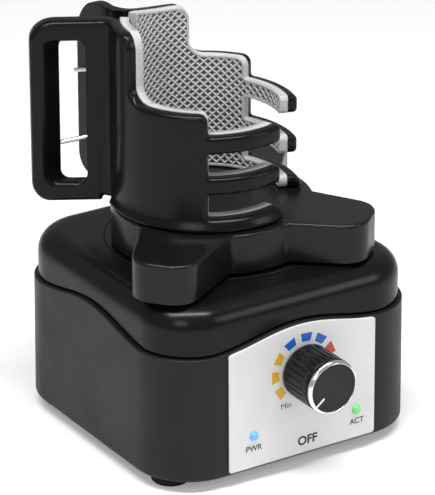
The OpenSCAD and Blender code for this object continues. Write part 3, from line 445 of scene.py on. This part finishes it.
left_end, right_end, low_end, rc = -35.8, 37.8, 1.8, 1.3
x = np.linspace(right_end, left_end, 41)
crest = np.column_stack([x, seam(x, np.full(41, -base_half)) - 0.7 - foot_h])
panel_loop = outline(
    arc(left_end + rc, low_end + rc, rc, rc, 180, 270, 4),
    arc(right_end - rc, low_end + rc, rc, rc, -90, 0, 4),
    arc(right_end - rc, crest[0, 1] - rc, rc, rc, 0, 78, 4), crest[1:-1],
    arc(left_end + rc, crest[-1, 1] - rc, rc, rc, 102, 180, 4))
panel_grey = finish("panel_grey", (0.76, 0.755, 0.755), 0.42, grain=0.0002, bump=0.06,
                    spread=0.015, patches=0.03)
plate_edge = [(0, 0.02), (0, 0.7), (0.04, 0.84), (0.16, 0.96), (0.32, 1.0)]
panel = moulding("panel_plate", [panel_loop], plate_edge, on_panel)
dress(panel, panel_grey, "base", ["control_panel"])


# %% Dial marks and words
def ink(name, colour):
    return finish(name, colour, 0.40, bump=0.02, spread=0.04, patches=0.004)


yellow = ink("mark_yellow", (0.72, 0.42, 0.028))
blue = ink("mark_blue", (0.004, 0.125, 0.54))
red = ink("mark_red", (0.56, 0.055, 0.048))
dial_x, dial_v, mark_in, mark_out = 1.55, 41.1, 12.7, 16.5
for k, a in enumerate((214.6, 182, 150, 118, 86, 56, 25, -6, -38)):
    half = math.radians(10.2)
    t = math.radians(a)
    corners = [(mark_in, t - half * 0.92), (mark_out, t - half), (mark_out, t + half),
               (mark_in, t + half * 0.92)]
    loop = np.array([(dial_x + r * math.cos(q), dial_v + r * math.sin(q)) for r, q in corners])
    mark = moulding(f"dial_mark_{k + 1}", [loop], [(0, 0.9), (0, 1.03), (0.06, 1.06)], on_panel,
                    even=False)
    mark.data.polygons.foreach_set("use_smooth", [False] * len(mark.data.polygons))
    dress(mark, (yellow, blue, red)[k // 3], "base")

ink_black = ink("ink_black", (0.012, 0.012, 0.013))


def word(name, text, x, z, tall, bold=0.0):
    """Printed word: its middle at x, z on the panel, capital height tall."""
    curve = bpy.data.curves.new(name, "FONT")
    curve.body, curve.size, curve.align_x = text, 1, "CENTER"
    curve.align_y, curve.extrude, curve.offset = "CENTER", 0.02, bold
    piece = bpy.data.objects.new(name, curve)
    scene.collection.objects.link(piece)
    bpy.context.view_layer.update()
    mesh = bpy.data.meshes.new_from_object(piece)
    bpy.data.objects.remove(piece)
    co = np.array([v.co for v in mesh.vertices])
    co[:, :2] -= (co[:, :2].max(0) + co[:, :2].min(0)) / 2
    scale = tall / np.ptp(co[:, 1])
    w = 1.02 + 0.03 * (co[:, 2] > 0)
    p = on_panel(x + co[:, 0] * scale, z - foot_h + co[:, 1] * scale, w) / 1000
    mesh.vertices.foreach_set("co", p.ravel())
    piece = bpy.data.objects.new(name, mesh)
    scene.collection.objects.link(piece)
    return dress(piece, ink_black, "base")


word("word_off", "OFF", 3.4, 12.7, 4.3, 0.032)
word("word_min", "Min", -7.5, 31.3, 2.5)
word("word_pwr", "PWR", -23.6, 15.8, 2.7, 0.015)
word("word_act", "ACT", 28.6, 14.7, 2.7, 0.015)

# %% [markdown]
# ## Lamps
# Two small domed lenses in a collar. They glow a little, with an even emission.


# %% Lamps
def lamp(name, colour, glow):
    m = finish(name, colour, 0.15, bump=0, coat=0.6, spread=0.05, patches=0.002)
    shader = m.node_tree.nodes["Principled BSDF"]
    shader.inputs["Emission Color"].default_value = (*glow, 1)
    shader.inputs["Emission Strength"].default_value = 0.18
    return m


blue_lens = lamp("lamp_blue", (0.10, 0.42, 0.78), (0.16, 0.62, 1.0))
green_lens = lamp("lamp_green", (0.16, 0.60, 0.20), (0.22, 0.95, 0.28))
dome = [(2.15, 0.0), (2.15, 0.25), (2.0, 0.4), (1.85, 0.42), (1.8, 0.7), (1.62, 1.2),
        (1.25, 1.65), (0.7, 1.92), (0.15, 2.0)]
for name, node, mat, slot_name, x, z in (
        ("power_lens", "power_led", blue_lens, "blue_lamp", -23.7, 21.6),
        ("active_lens", "active_led", green_lens, "green_lamp", 28.3, 20.1)):
    lens = turned(name, dome, (x, -base_half + lean * (z - foot_h) - 1.0, z), "-y", n=32)
    dress(lens, mat, "base", [node])

# %% [markdown]
# ## Speed knob
# A fluted collet knob: a skirt at the back, a body with 28 flutes, a groove, a bright
# turned ring and a dished black face with the fine circles of a lathe tool.

# %% Knob body, ring, face and pointer
knob_x, knob_z = 2.0, 45.6
knob_at = (knob_x, 0.0, knob_z)
kb, kf = 66.43, 87.13  # back and front of the knob, out from the middle of the base


def flutes(a, r, h):
    """28 smooth dips of 0.62 mm, fading out within 1 mm at both ends of the body."""
    wave = np.clip(np.cos(28 * a) * 1.5 - 0.35, 0, 1)
    span = np.clip(h - kb - 1.6, 0, 1) * np.clip(kf - 4.6 - h, 0, 1)
    return r - 0.62 * wave * span * (r > 11)


body_side = [(6.0, kb + 1.0), (10.6, kb + 1.0), (11.2, kb + 0.1), (11.7, kb), (12.0, kb + 0.4),
             (12.1, kb + 1.2)]
body_side += [(12.1, h) for h in np.linspace(kb + 1.6, kf - 3.8, 15)]
body_side += [(12.0, kf - 3.4), (11.8, kf - 3.2), (11.2, kf - 3.1), (11.15, kf - 2.2),
              (10.0, kf - 2.1), (10.0, kf - 0.8)]
knob = turned("knob_body", body_side, knob_at, "-y", n=280, ripple=flutes, even=True)
dress(knob, knob_black, "knob", ["speed_knob"])
ring_side = [(10.7, kf - 2.0), (11.6, kf - 2.05), (11.9, kf - 1.95), (12.0, kf - 1.7), (11.98, kf - 1.1),
             (11.85, kf - 0.9), (11.1, kf - 0.12), (10.95, kf - 0.02), (10.8, kf - 0.05), (10.75, kf - 0.3),
             (10.7, kf - 0.8)]
rim = turned("knob_rim", ring_side, knob_at, "-y", n=96)
dress(rim, ring_metal, "knob", ["knob_ring"])
face_r = 10.78
face_side = [(face_r, kf - 0.9)]
face_side += [(r, kf - 0.16 - 0.10 * (1 - (r / face_r) ** 2)) for r in np.linspace(face_r, 0.2, 12)]
face = turned("knob_disc", face_side, knob_at, "-y", n=96)

disc_black = finish("disc_black", (0.011, 0.011, 0.012), 0.34, bump=0, spread=0.05, gloss=0.3)
shader = disc_black.node_tree.nodes["Principled BSDF"]
nodes, links = disc_black.node_tree.nodes, disc_black.node_tree.links
spot = nodes.new("ShaderNodeTexCoord")
place_it = nodes.new("ShaderNodeMapping")
place_it.inputs["Location"].default_value = (-knob_x / 1000, 0, -knob_z / 1000)
links.new(spot.outputs["Object"], place_it.inputs["Vector"])
split = nodes.new("ShaderNodeSeparateXYZ")
links.new(place_it.outputs["Vector"], split.inputs["Vector"])
flat = nodes.new("ShaderNodeCombineXYZ")
links.new(split.outputs["X"], flat.inputs["X"])
links.new(split.outputs["Z"], flat.inputs["Y"])
rings_tex = nodes.new("ShaderNodeTexWave")
rings_tex.wave_type, rings_tex.rings_direction = "RINGS", "SPHERICAL"
rings_tex.inputs["Scale"].default_value = 900
links.new(flat.outputs["Vector"], rings_tex.inputs["Vector"])
cut = nodes.new("ShaderNodeBump")
cut.inputs["Strength"].default_value = 0.35
cut.inputs["Distance"].default_value = 0.00006
links.new(rings_tex.outputs["Fac"], cut.inputs["Height"])
links.new(cut.outputs["Normal"], shader.inputs["Normal"])
shader.inputs["Anisotropic"].default_value = 0.85
dress(face, disc_black, "knob", ["knob_face"])

pointer_angle = math.radians(218)


def on_dial(u, v, w):
    """u outwards along the pointer, v across it, w out of the face."""
    c, s = math.cos(pointer_angle), math.sin(pointer_angle)
    return np.stack([knob_x + u * c - v * s, -w, knob_z + u * s + v * c], -1)


pointer_loop = outline(arc(10.6, 0, 0.4, 0.45, -90, 90, 4), arc(6.3, 0, 0.4, 0.45, 90, 270, 4))
pointer = moulding("pointer_line", [pointer_loop],
                   [(0, kf - 0.7), (0, kf - 0.12), (0.1, kf - 0.04)], on_dial, even=False)
dress(pointer, white_paint, "knob", ["knob_pointer"])

# %% [markdown]
# ## The head
# Everything above the cover is drawn in the head's own plan, which is turned by
# 133 degrees: x runs from the middle towards the handles, the mouth opens at -x.

# %% Head plan
head_at, head_turn = np.array([-1.170, 1.497]), math.radians(133)
jaw_x, hinge_x = 3, 40  # middle of the jaws and axis of the hinge, in the head's plan


def head(x, y, z):
    c, s = math.cos(head_turn), math.sin(head_turn)
    return np.stack([head_at[0] + c * x - s * y, head_at[1] + s * x + c * y, z + 0 * x], -1)


# %% Turret: a round table with three lobes over the rubber isolators
hub_r = 43.6


def lobe(angle, xc, yc, r=11.0, taper=10.0, hub=hub_r):
    """One lobe in its own frame: side line, corner, end, corner, side line."""
    t = math.radians(taper)
    tx, ty = xc + r * math.sin(t), yc + r * math.cos(t)
    k, g = ty + tx * math.tan(t), math.tan(t)
    u = (g * k + math.sqrt(g * g * k * k - (1 + g * g) * (k * k - hub * hub))) / (1 + g * g)
    v = k - g * u
    p = np.vstack([[(u, -v)], arc(xc, -yc, r, r, taper - 90, 0, 8),
                   arc(xc, yc, r, r, 0, 90 - taper, 8), [(u, v)]])
    a = math.radians(angle)
    spin = np.array([[math.cos(a), math.sin(a)], [-math.sin(a), math.cos(a)]])
    return p @ spin, math.degrees(math.atan2(v, u))


lobes = [lobe(87.5, 65, 3.457), lobe(177.5, 59.3, 4.1), lobe(267.5, 65, 3.457)]
parts = []
for (p, half), (_, next_half), at, after in zip(lobes, lobes[1:] + lobes[:1],
                                                (87.5, 177.5, 267.5), (177.5, 267.5, 447.5)):
    span = after - next_half - at - half
    parts += [p, arc(0, 0, hub_r, hub_r, at + half, after - next_half, max(6, int(span / 4)))]
turret_loop = outline(*parts)
side = [(3, 98.3), (3, 84.0), (2.7, 83.7), (0.35, 83.7), (0, 84.05), (0, 92), (0, 99.9)]
side += [(1.4 * (1 - math.cos(a)), 99.9 + 1.4 * math.sin(a)) for a in np.radians((22, 45, 68, 90))]
turret = moulding("turret_top", [turret_loop], side, head, pocket=(circle(jaw_x, 0, 30.0, 96), 0.6))
dress(turret, head_black, "head", ["turret"])

# %% [markdown]
# ## Jaws
# Each jaw is one sheet: it runs round the bottle, turns outwards through a small
# radius and ends as a handle. Along that path u is the length and N the side that
# is seen, so a point is path(u) + w N at height z. The turn starts at u = 0.

# %% The path of a jaw
wall_r, low_top, turn_r = 37.9, 153.0, 7


def jaw_path(start, turn_by, mirror, thick=4.2, handle=6.6):
    """Arc of wall_r about (jaw_x, 0) up to `start` degrees, a turn of turn_r, then straight.
    The foot of the wall flares out to the turret's radius on its outer side."""
    t1, long = math.radians(start), math.radians(turn_by) * turn_r
    qx, qy = jaw_x + (wall_r + turn_r) * math.cos(t1), (wall_r + turn_r) * math.sin(t1)
    end = t1 + math.pi + math.radians(turn_by)

    def place(u, v, w):
        a = t1 - u / wall_r
        psi = t1 + math.pi + u / turn_r
        way = np.array([-math.sin(end), math.cos(end)])
        f = np.clip(u / (long + 2), 0, 1)
        skirt = np.clip((110.5 - v) / 8.7, 0, 1) ** 2 * np.clip(-u / 4, 0, 1)
        w = w + 3.3 * skirt * (w > 0)
        w = w * (thick + (handle - thick) * f * f * (3 - 2 * f)) / thick
        bend = turn_r - w
        x = np.where(u <= 0, jaw_x + (wall_r + w) * np.cos(a),
                     np.where(u <= long, qx + bend * np.cos(psi),
                              qx + bend * math.cos(end) + (u - long) * way[0]))
        y = np.where(u <= 0, (wall_r + w) * np.sin(a),
                     np.where(u <= long, qy + bend * np.sin(psi),
                              qy + bend * math.sin(end) + (u - long) * way[1]))
        return head(x, -y if mirror else y, v)
    return place


def at_angle(theta, start):
    """Length along the wall, negative from the turn, at an angle in degrees."""
    return -(np.asarray(theta, float) - start) * math.pi / 180 * wall_r


def fingers(u_wall, u_tip, r=2.2, inner=1.0, grow=0.0):
    """The three fingers from the top one down, anticlockwise, with rounded tips."""
    g, p = grow, []
    for k, (z0, z1) in enumerate(((135.9, 143.6), (117.6, 125.3), (101.8, 107.0))):
        z0, z1 = z0 - (g if k < 2 else 0), z1 + g
        p.append(arc(u_wall - inner, z1 + inner, inner, inner, 0, -90, 3))
        p.append(arc(u_tip + r, z1 - r, r, r, 90, 180, 4))
        p.append(arc(u_tip + r, z0 + r, r, r, 180, 270, 4))
        if k < 2:
            p.append(arc(u_wall - inner, z0 - inner, inner, inner, 90, 0, 3))
    return np.vstack(p)


def fall(start, a1, z1, ca, cz, grow=0.0):
    """Rounded corner, drop and hollow foot, from right to left: angles become lengths."""
    f = np.radians(np.linspace(0, 90, 13))
    a = a1 + math.degrees(grow / wall_r)
    corner_part = np.column_stack([at_angle(a - ca + ca * np.sin(f), start),
                                   z1 - cz + cz * np.cos(f)])
    foot_part = np.column_stack([at_angle(a + 13 * (1 - np.cos(f)), start),
                                 low_top + grow + 6.5 - 6.5 * np.sin(f)])
    return np.vstack([corner_part, foot_part])


# %% Front jaw with its slotted handle
front_place = jaw_path(22.85, 84.15, False)
fu_wall, fu_tip, f_end = at_angle(106, 22.85), at_angle(157.3, 22.85), 39.74
front_loop = outline(
    (6, 101.8), (8.6, 101.8), (9.2, 101.5), (9.7, 100.3), (10.4, 99.8),
    arc(f_end - 8, 99.8 + 9, 8, 9, -90, 0, 10), arc(f_end - 11, 181.5 - 9.5, 11, 9.5, 0, 90, 12),
    (12, 181.5), (4, 181.7), (-4, 181.9), fall(22.85, 51.0, 182.0, 9, 8),
    arc(fu_wall + 4, low_top - 4, 4, 4, 90, 180, 6), fingers(fu_wall, fu_tip))
slot_u0, slot_u1, slot_z0, slot_z1, slot_r = 17.34, 33.34, 108.6, 172.1, 4
slot_loop = outline(arc(slot_u1 - slot_r, slot_z0 + slot_r, slot_r, slot_r, 0, -90, 6),
                    arc(slot_u0 + slot_r, slot_z0 + slot_r, slot_r, slot_r, 270, 180, 6),
                    arc(slot_u0 + slot_r, slot_z1 - slot_r, slot_r, slot_r, 180, 90, 6),
                    arc(slot_u1 - slot_r, slot_z1 - slot_r, slot_r, slot_r, 90, 0, 6))
front_jaw = moulding("front_jaw_sheet", [front_loop, slot_loop], soft_edge(4.2, 1.9, 0.3), front_place,
                     step=1.4, slant=-1.517)
dress(front_jaw, jaw_black, "front_jaw_body", ["front_jaw"])

# %% Rear jaw with its short handle; its top dips between the handle and the corner
rear_place = jaw_path(21.68, 107.3, True)
ru_wall, ru_tip, r_end = at_angle(106, 21.68), at_angle(154.2, 21.68), 31.4
top_u = np.array([15.0, 13.0, 11, 9, 7, 5, 3, 1, -1, -3, -5, -7, -9, -12, -15, -18])
top_z = np.interp(top_u, [-20, -16.3, -13.6, -9.2, -3.5, 1.3, 5.4, 9.7, 15.5],
                  [175.5, 175.6, 175.8, 176.2, 177.2, 178.3, 179.1, 179.7, 180.1])
rear_loop = outline(
    (6, 101.8), (8.6, 101.8), (9.2, 101.5), (9.7, 100.3), (10.4, 99.8),
    arc(r_end - 8, 99.8 + 9, 8, 9, -90, 0, 10), arc(r_end - 15, 180.1 - 18.5, 15, 18.5, 0, 90, 16),
    np.column_stack([top_u, top_z]), fall(21.68, 61.5, 175.5, 9, 6),
    arc(ru_wall + 4, low_top - 4, 4, 4, 90, 180, 6), fingers(ru_wall, ru_tip))
rear_jaw = moulding("rear_jaw_sheet", [rear_loop], soft_edge(4.2, 1.9, 0.3), rear_place, step=1.4)
dress(rear_jaw, jaw_black, "rear_jaw_body", ["rear_jaw"])

# %% [markdown]
# ## Root of the handles and the hinge knuckles
# Behind each turn a web fills the corner, and the knuckles stand on it.


# %% Webs and knuckles
def root(name, sheet, mirror, body, z0, z1):
    """Plan: the inside of the turn, closed by an arc just inside the jaw wall."""
    u = np.linspace(-2.0, 6.0, 12)
    line = sheet(u, 0 * u + z0, 0 * u - 0.5)[:, :2] - head_at
    c, s = math.cos(head_turn), math.sin(head_turn)
    line = line @ np.array([[c, -s], [s, c]])
    if mirror:
        line[:, 1] *= -1
    t = np.radians(np.linspace(12.5, 24.0, 6))
    inner = np.stack([jaw_x + 35.9 * np.cos(t), 35.9 * np.sin(t)], 1)
    loop = np.vstack([inner, line])
    if mirror:
        loop[:, 1] *= -1
    area = (loop[:, 0] * np.roll(loop[:, 1], -1) - loop[:, 1] * np.roll(loop[:, 0], -1)).sum()
    loop = outline(loop if area > 0 else loop[::-1])
    web = moulding(name, [loop], [(0.3, z0), (0, z0 + 0.3), (0, z1 - 0.3), (0.3, z1)], head)
    return dress(web, jaw_black, body)


def knuckle(name, z0, z1, side, body):
    """A D: round about the pin, with flat flanks towards its jaw."""
    far, r, left, right = 10.4 * side, 4.7, hinge_x - 1.6, hinge_x + 3.6
    if side > 0:
        loop = outline(arc(hinge_x, 0, r, r, 180, 360, 20), (right, 2.9), (right, far),
                       (left, far), (left, 4.42))
    else:
        loop = outline(arc(hinge_x, 0, r, r, 0, 180, 20), (left, -4.42), (left, far),
                       (right, far), (right, -2.9))
    piece = moulding(name, [loop], [(0.3, z0), (0, z0 + 0.3), (0, z1 - 0.3), (0.3, z1)], head)
    return dress(piece, jaw_black, body)


hinge_top, coil_z0, coil_z1 = 176.0, 129.51, 154.99
low_split, top_split = 113.23, 167.96
root("front_web", front_place, False, "front_jaw_body", 101.9, 178.5)
root("rear_web", rear_place, True, "rear_jaw_body", 101.9, 175.4)
knuckle("front_knuckle_low", 101.8, low_split, 1, "front_jaw_body")
knuckle("rear_knuckle_low", low_split + 0.3, coil_z0 - 2.4, -1, "rear_jaw_body")
knuckle("rear_knuckle_top", coil_z1 + 2.4, top_split, -1, "rear_jaw_body")
knuckle("front_knuckle_top", top_split + 0.3, hinge_top, 1, "front_jaw_body")
pin_at = head(np.array(float(hinge_x)), np.array(0.0), np.array(0.0))
pin = turned("hinge_pin", [(1.9, 86.0), (2.2, 86.3), (2.2, 175.7), (1.9, 176.0)], pin_at, n=32)
dress(pin, steel, "head", ["pivot_pin"])
cap_side = [(2.25, 175.9), (4.2, 176.1), (4.35, 176.4), (4.2, 177.0), (3.0, 177.4), (0.2, 177.5)]
cap = turned("hinge_cap", cap_side, pin_at, n=40)
dress(cap, head_black, "head", ["pin_cap"])

# %% [markdown]
# ## Grip pads
# Pale rubber linings. The body shows as a bright line round the jaw; its inner face
# has a plain rim, a sunk floor and crossed ridges that meet the rim in a zigzag.
# The sunk floor is the same rubber in a darker grey: painted shade between the ridges.

# %% Pads: body, rim, floor and crossed ridges
pad_r = 33.95


def pad_path(mirror):
    def place(u, v, w):
        a = -u / wall_r
        x, y = jaw_x + (pad_r + w) * np.cos(a), (pad_r + w) * np.sin(a)
        return head(x, -y if mirror else y, v)
    return place


def clipped(loop, slope, spacing):
    """Segments of the lines v = slope u + k spacing that lie inside the loop."""
    a, b = loop, np.roll(loop, -1, 0)
    fa, fb = a[:, 1] - slope * a[:, 0], b[:, 1] - slope * b[:, 0]
    found = []
    for level in np.arange(math.ceil(fa.min() / spacing), fa.max() / spacing) * spacing + 0.013:
        hit = (fa - level) * (fb - level) < 0
        t = (level - fa[hit]) / (fb[hit] - fa[hit])
        u = np.sort(a[hit, 0] + t * (b[hit, 0] - a[hit, 0]))
        found += [(u0, u1, level) for u0, u1 in zip(u[::2], u[1::2]) if u1 - u0 > 0.6]
    return found


def ridges(name, loop, place, spacing=3.45, high=0.62):
    """Each ridge is a ribbon of five lines: foot, shoulder, crown, shoulder, foot."""
    points, faces, n = [], [], 0
    across = np.array([-0.5, -0.27, 0.0, 0.27, 0.5])
    rise = np.array([0.0, 0.82, 1.0, 0.82, 0.0]) * high
    for slope in (0.81, -0.81):
        norm = math.hypot(1, slope)
        for u0, u1, level in clipped(loop, slope, spacing):
            u = np.linspace(u0, u1, max(3, int((u1 - u0) / 1.1)))
            uu = u[:, None] - across[None] * slope / norm
            vv = (slope * u + level)[:, None] + across[None] / norm
            ww = np.broadcast_to(-1.26 - rise, uu.shape)
            points.append(place(uu.ravel(), vv.ravel(), ww.ravel()) / 1000)
            i, j = np.meshgrid(np.arange(len(u) - 1), np.arange(4), indexing="ij")
            k = n + i * 5 + j
            faces.append(np.stack([k, k + 5, k + 6, k + 1], -1).reshape(-1, 4))
            n += len(u) * 5
    mesh = bpy.data.meshes.new(name)
    mesh.from_pydata(np.vstack(points).tolist(), [], np.vstack(faces).tolist())
    bm = bmesh.new()
    bm.from_mesh(mesh)
    bpy.data.meshes.remove(mesh)
    return finish_mesh(name, bm, False)


def pad(name, node, loop, place, body):
    inner = inward(loop, 1.3)
    core = moulding(name, [loop], [(0, -1.3), (0, 1.0), (0, 1.84)], place, step=1.4)
    dress(core, pad_grey, body, [node])
    edge = moulding(name + "_rim", [loop, inner[::-1]],
                    [(0, -1.2), (0, -1.6), (0.12, -1.8), (0.3, -1.85)], place, step=1.4)
    dress(edge, pad_grey, body)
    # the sunk floor takes the darker grey: painted shade between the ridges
    sheet = moulding(name + "_floor", [inner], [(0, -1.31), (0, -1.28)][::-1], place, step=1.4)
    dress(sheet, pad_floor_shade, body)
    dress(ridges(name + "_ridges", inner, place), pad_grey, body)


g = 0.25  # the pads stand this far past the edges of the jaws
wall_deg = 106 + math.degrees(g / wall_r)
front_pad_loop = outline(
    (at_angle(13, 0), 101.8), (at_angle(13, 0), 182.1), fall(0, 51.0, 182.2, 9, 8, g),
    arc(at_angle(wall_deg, 0) + 4.2, low_top + g - 4.2, 4.2, 4.2, 90, 180, 6),
    fingers(at_angle(wall_deg, 0), at_angle(156.7, 0), grow=g))
pad("front_pad_core", "front_pad", front_pad_loop, pad_path(False), "front_jaw_body")
rear_pad_loop = outline(
    *((at_angle(t, 0), z) for t, z in (
        (10, 101.8), (10, 178.6), (10.6, 179.1), (16, 178.4), (22, 177.6), (30, 176.6),
        (39, 175.9), (46, 175.7))),
    fall(0, 62.5, 175.6, 9, 6, g),
    arc(at_angle(wall_deg, 0) + 4.2, low_top + g - 4.2, 4.2, 4.2, 90, 180, 6),
    fingers(at_angle(wall_deg, 0), at_angle(153.6, 0), grow=g))
pad("rear_pad_core", "rear_pad", rear_pad_loop, pad_path(True), "rear_jaw_body")

# %% [markdown]
# ## Torsion spring
# A wire on one path: a straight leg behind the front handle, nine and a half turns
# round the pin, and a leg that bends behind the rear handle.


# %% Spring wire
def wire(name, path, radius, sides=14):
    """Tube about a smoothed path; the frame is carried along without twist."""
    p = np.array(path, float)
    for _ in range(2):
        q = 0.75 * p[:-1] + 0.25 * p[1:], 0.25 * p[:-1] + 0.75 * p[1:]
        p = np.vstack([p[:1], np.stack(q, 1).reshape(-1, 3), p[-1:]])
    t = np.gradient(p, axis=0)
    t /= np.linalg.norm(t, axis=1)[:, None]
    side_to = np.cross(t, [0, 0, 1.0])
    side_to /= np.linalg.norm(side_to, axis=1)[:, None]
    up_to = np.cross(side_to, t)
    a = np.linspace(0, 2 * np.pi, sides, endpoint=False)
    ring_at = radius * (np.cos(a)[None, :, None] * side_to[:, None] +
                        np.sin(a)[None, :, None] * up_to[:, None])
    r = np.ones(len(p))
    r[0] = r[-1] = 0.55
    r[1] = r[-2] = 0.97
    tube = (p[:, None] + ring_at * r[:, None, None]).transpose(1, 0, 2)
    return grid(name, tube, caps=True)


a0, a1 = math.radians(107.4), math.radians(295 + 360 * 9)
ca = np.linspace(a0, a1, 330)
coil_r = 3.7
coil = np.stack([hinge_x + coil_r * np.cos(ca), coil_r * np.sin(ca),
                 coil_z0 + (coil_z1 - coil_z0) * (ca - a0) / (a1 - a0)], 1)
leg = np.array([math.cos(math.radians(17.4)), math.sin(math.radians(17.4)), -0.2])
first = coil[0] + np.array([31.0, 20, 10, 4, 1.5])[:, None] * leg
bend_to = np.array([math.cos(math.radians(25)), math.sin(math.radians(25)), 0])
mid = coil[-1] + 6.5 * bend_to
leg_tip = np.array([66.5, -19.45, coil_z1 - 9.5])
last = np.vstack([coil[-1] + 2 * bend_to, coil[-1] + 4.5 * bend_to, mid,
                  mid + 0.35 * (leg_tip - mid), leg_tip])
whole = np.vstack([first, coil, last])
spring = wire("spring_wire", head(whole[:, 0], whole[:, 1], whole[:, 2]), 1.0)
dress(spring, steel, "head", ["torsion_spring"])

# %% [markdown]
# ## Solids that keep their own form
# Fasteners, motor, board, bearing and the other inner parts are already drawn as
# they are made, so they only take a finish.

# %% Finishes of the remaining solids
kept = (
    (zinc, "jack_nut foot_screws cover_screws potentiometer pot_nut board_screws motor motor_mount "
           "motor_screws mount_screws counterweight bearing_retainer retainer_screws isolator_studs"),
    (steel, "pot_shaft motor_shaft crank_hub crank_screw crank_clip head_bearing knob_screw"),
    (part_black, "dc_jack board_chip board_mosfet"),
    (board_green, "control_board board_terminal"),
    (can_blue, "board_capacitor"),
    (lead_red, "motor_leads jack_leads"),
    (isolator_rubber, "isolator_1 isolator_2 isolator_3 isolator_4"))
looks = {name: material for material, names in kept for name in names.split()}
redrawn = []
for name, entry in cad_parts.items():
    obj = entry if hasattr(entry, "data") else bpy.data.objects.get(name)
    if obj is None:
        continue
    if name in looks:
        obj.data.materials.clear()
        obj.data.materials.append(looks[name])
    else:
        redrawn.append(name)
print(len(looks), "solids keep their form; drawn anew:", redrawn)

# %% [markdown]
# ## Floor and light
# White studio: a pale floor that runs into a white background. The extra white is
# seen by the camera, by reflections and through glass, and lights nothing. Three soft
# boxes light the object at a plain level: one from the left, one from the right, and
# a long narrow one overhead, which draws the bright line along the cover's edge.

# %% Floor
bpy.ops.mesh.primitive_plane_add(size=4.0, location=(0, 0, 0))
ground = bpy.context.object
ground.name = "studio_floor"
paper = bpy.data.materials.new("studio_paper")
paper.use_nodes = True
nodes, links = paper.node_tree.nodes, paper.node_tree.links
shader = nodes["Principled BSDF"]
shader.inputs["Base Color"].default_value = (0.86, 0.86, 0.86, 1)
shader.inputs["Roughness"].default_value = 0.9
shader.inputs["Emission Color"].default_value = (1, 1, 1, 1)
ray = nodes.new("ShaderNodeLightPath")
glow = None
for output, strength in (("Is Camera Ray", 0.24), ("Is Glossy Ray", 0.05), ("Is Transmission Ray", 0.05)):
    part = nodes.new("ShaderNodeMath")
    part.operation = "MULTIPLY_ADD"
    part.inputs[1].default_value, part.inputs[2].default_value = strength, 0.0
    links.new(ray.outputs[output], part.inputs[0])
    if glow:
        links.new(glow.outputs[0], part.inputs[2])
    glow = part
links.new(glow.outputs[0], shader.inputs["Emission Strength"])
ground.data.materials.append(paper)

# %% World: white to the camera, softer in reflections and for the fill
world = bpy.data.worlds.new("studio")
scene.world = world
world.use_nodes = True
nodes, links = world.node_tree.nodes, world.node_tree.links
sky = nodes["Background"]
sky.inputs["Color"].default_value = (1, 1, 1, 1)
ray = nodes.new("ShaderNodeLightPath")


def weigh(output, strength, base):
    m = nodes.new("ShaderNodeMath")
    m.operation = "MULTIPLY_ADD"
    m.inputs[1].default_value = strength
    if isinstance(base, float):
        m.inputs[2].default_value = base
    else:
        links.new(base, m.inputs[2])
    links.new(ray.outputs[output], m.inputs[0])
    return m.outputs[0]


total = weigh("Is Camera Ray", 0.72, 0.28)
total = weigh("Is Glossy Ray", 0.05, total)
total = weigh("Is Transmission Ray", 0.40, total)
links.new(total, sky.inputs["Strength"])


# %% Area lights
def soft_box(name, at, aim, size, power):
    light = bpy.data.lights.new(name, "AREA")
    light.shape, light.size, light.size_y, light.energy = "RECTANGLE", size[0], size[1], power
    box = bpy.data.objects.new(name, light)
    scene.collection.objects.link(box)
    box.location = at
    box.rotation_euler = (Vector(aim) - Vector(at)).to_track_quat("-Z", "Y").to_euler()
    return box


soft_box("key_left", (-0.85, -0.75, 0.75), (0, 0, 0.08), (0.5, 0.5), 2.4)
soft_box("front_right", (0.75, -1.0, 0.6), (0, 0, 0.08), (0.4, 0.5), 2.4)
soft_box("top_front", (-0.16, -0.22, 1.05), (-0.05, 0, 0.1), (1.1, 0.16), 13.0)
scene.view_settings.view_transform = "Standard"
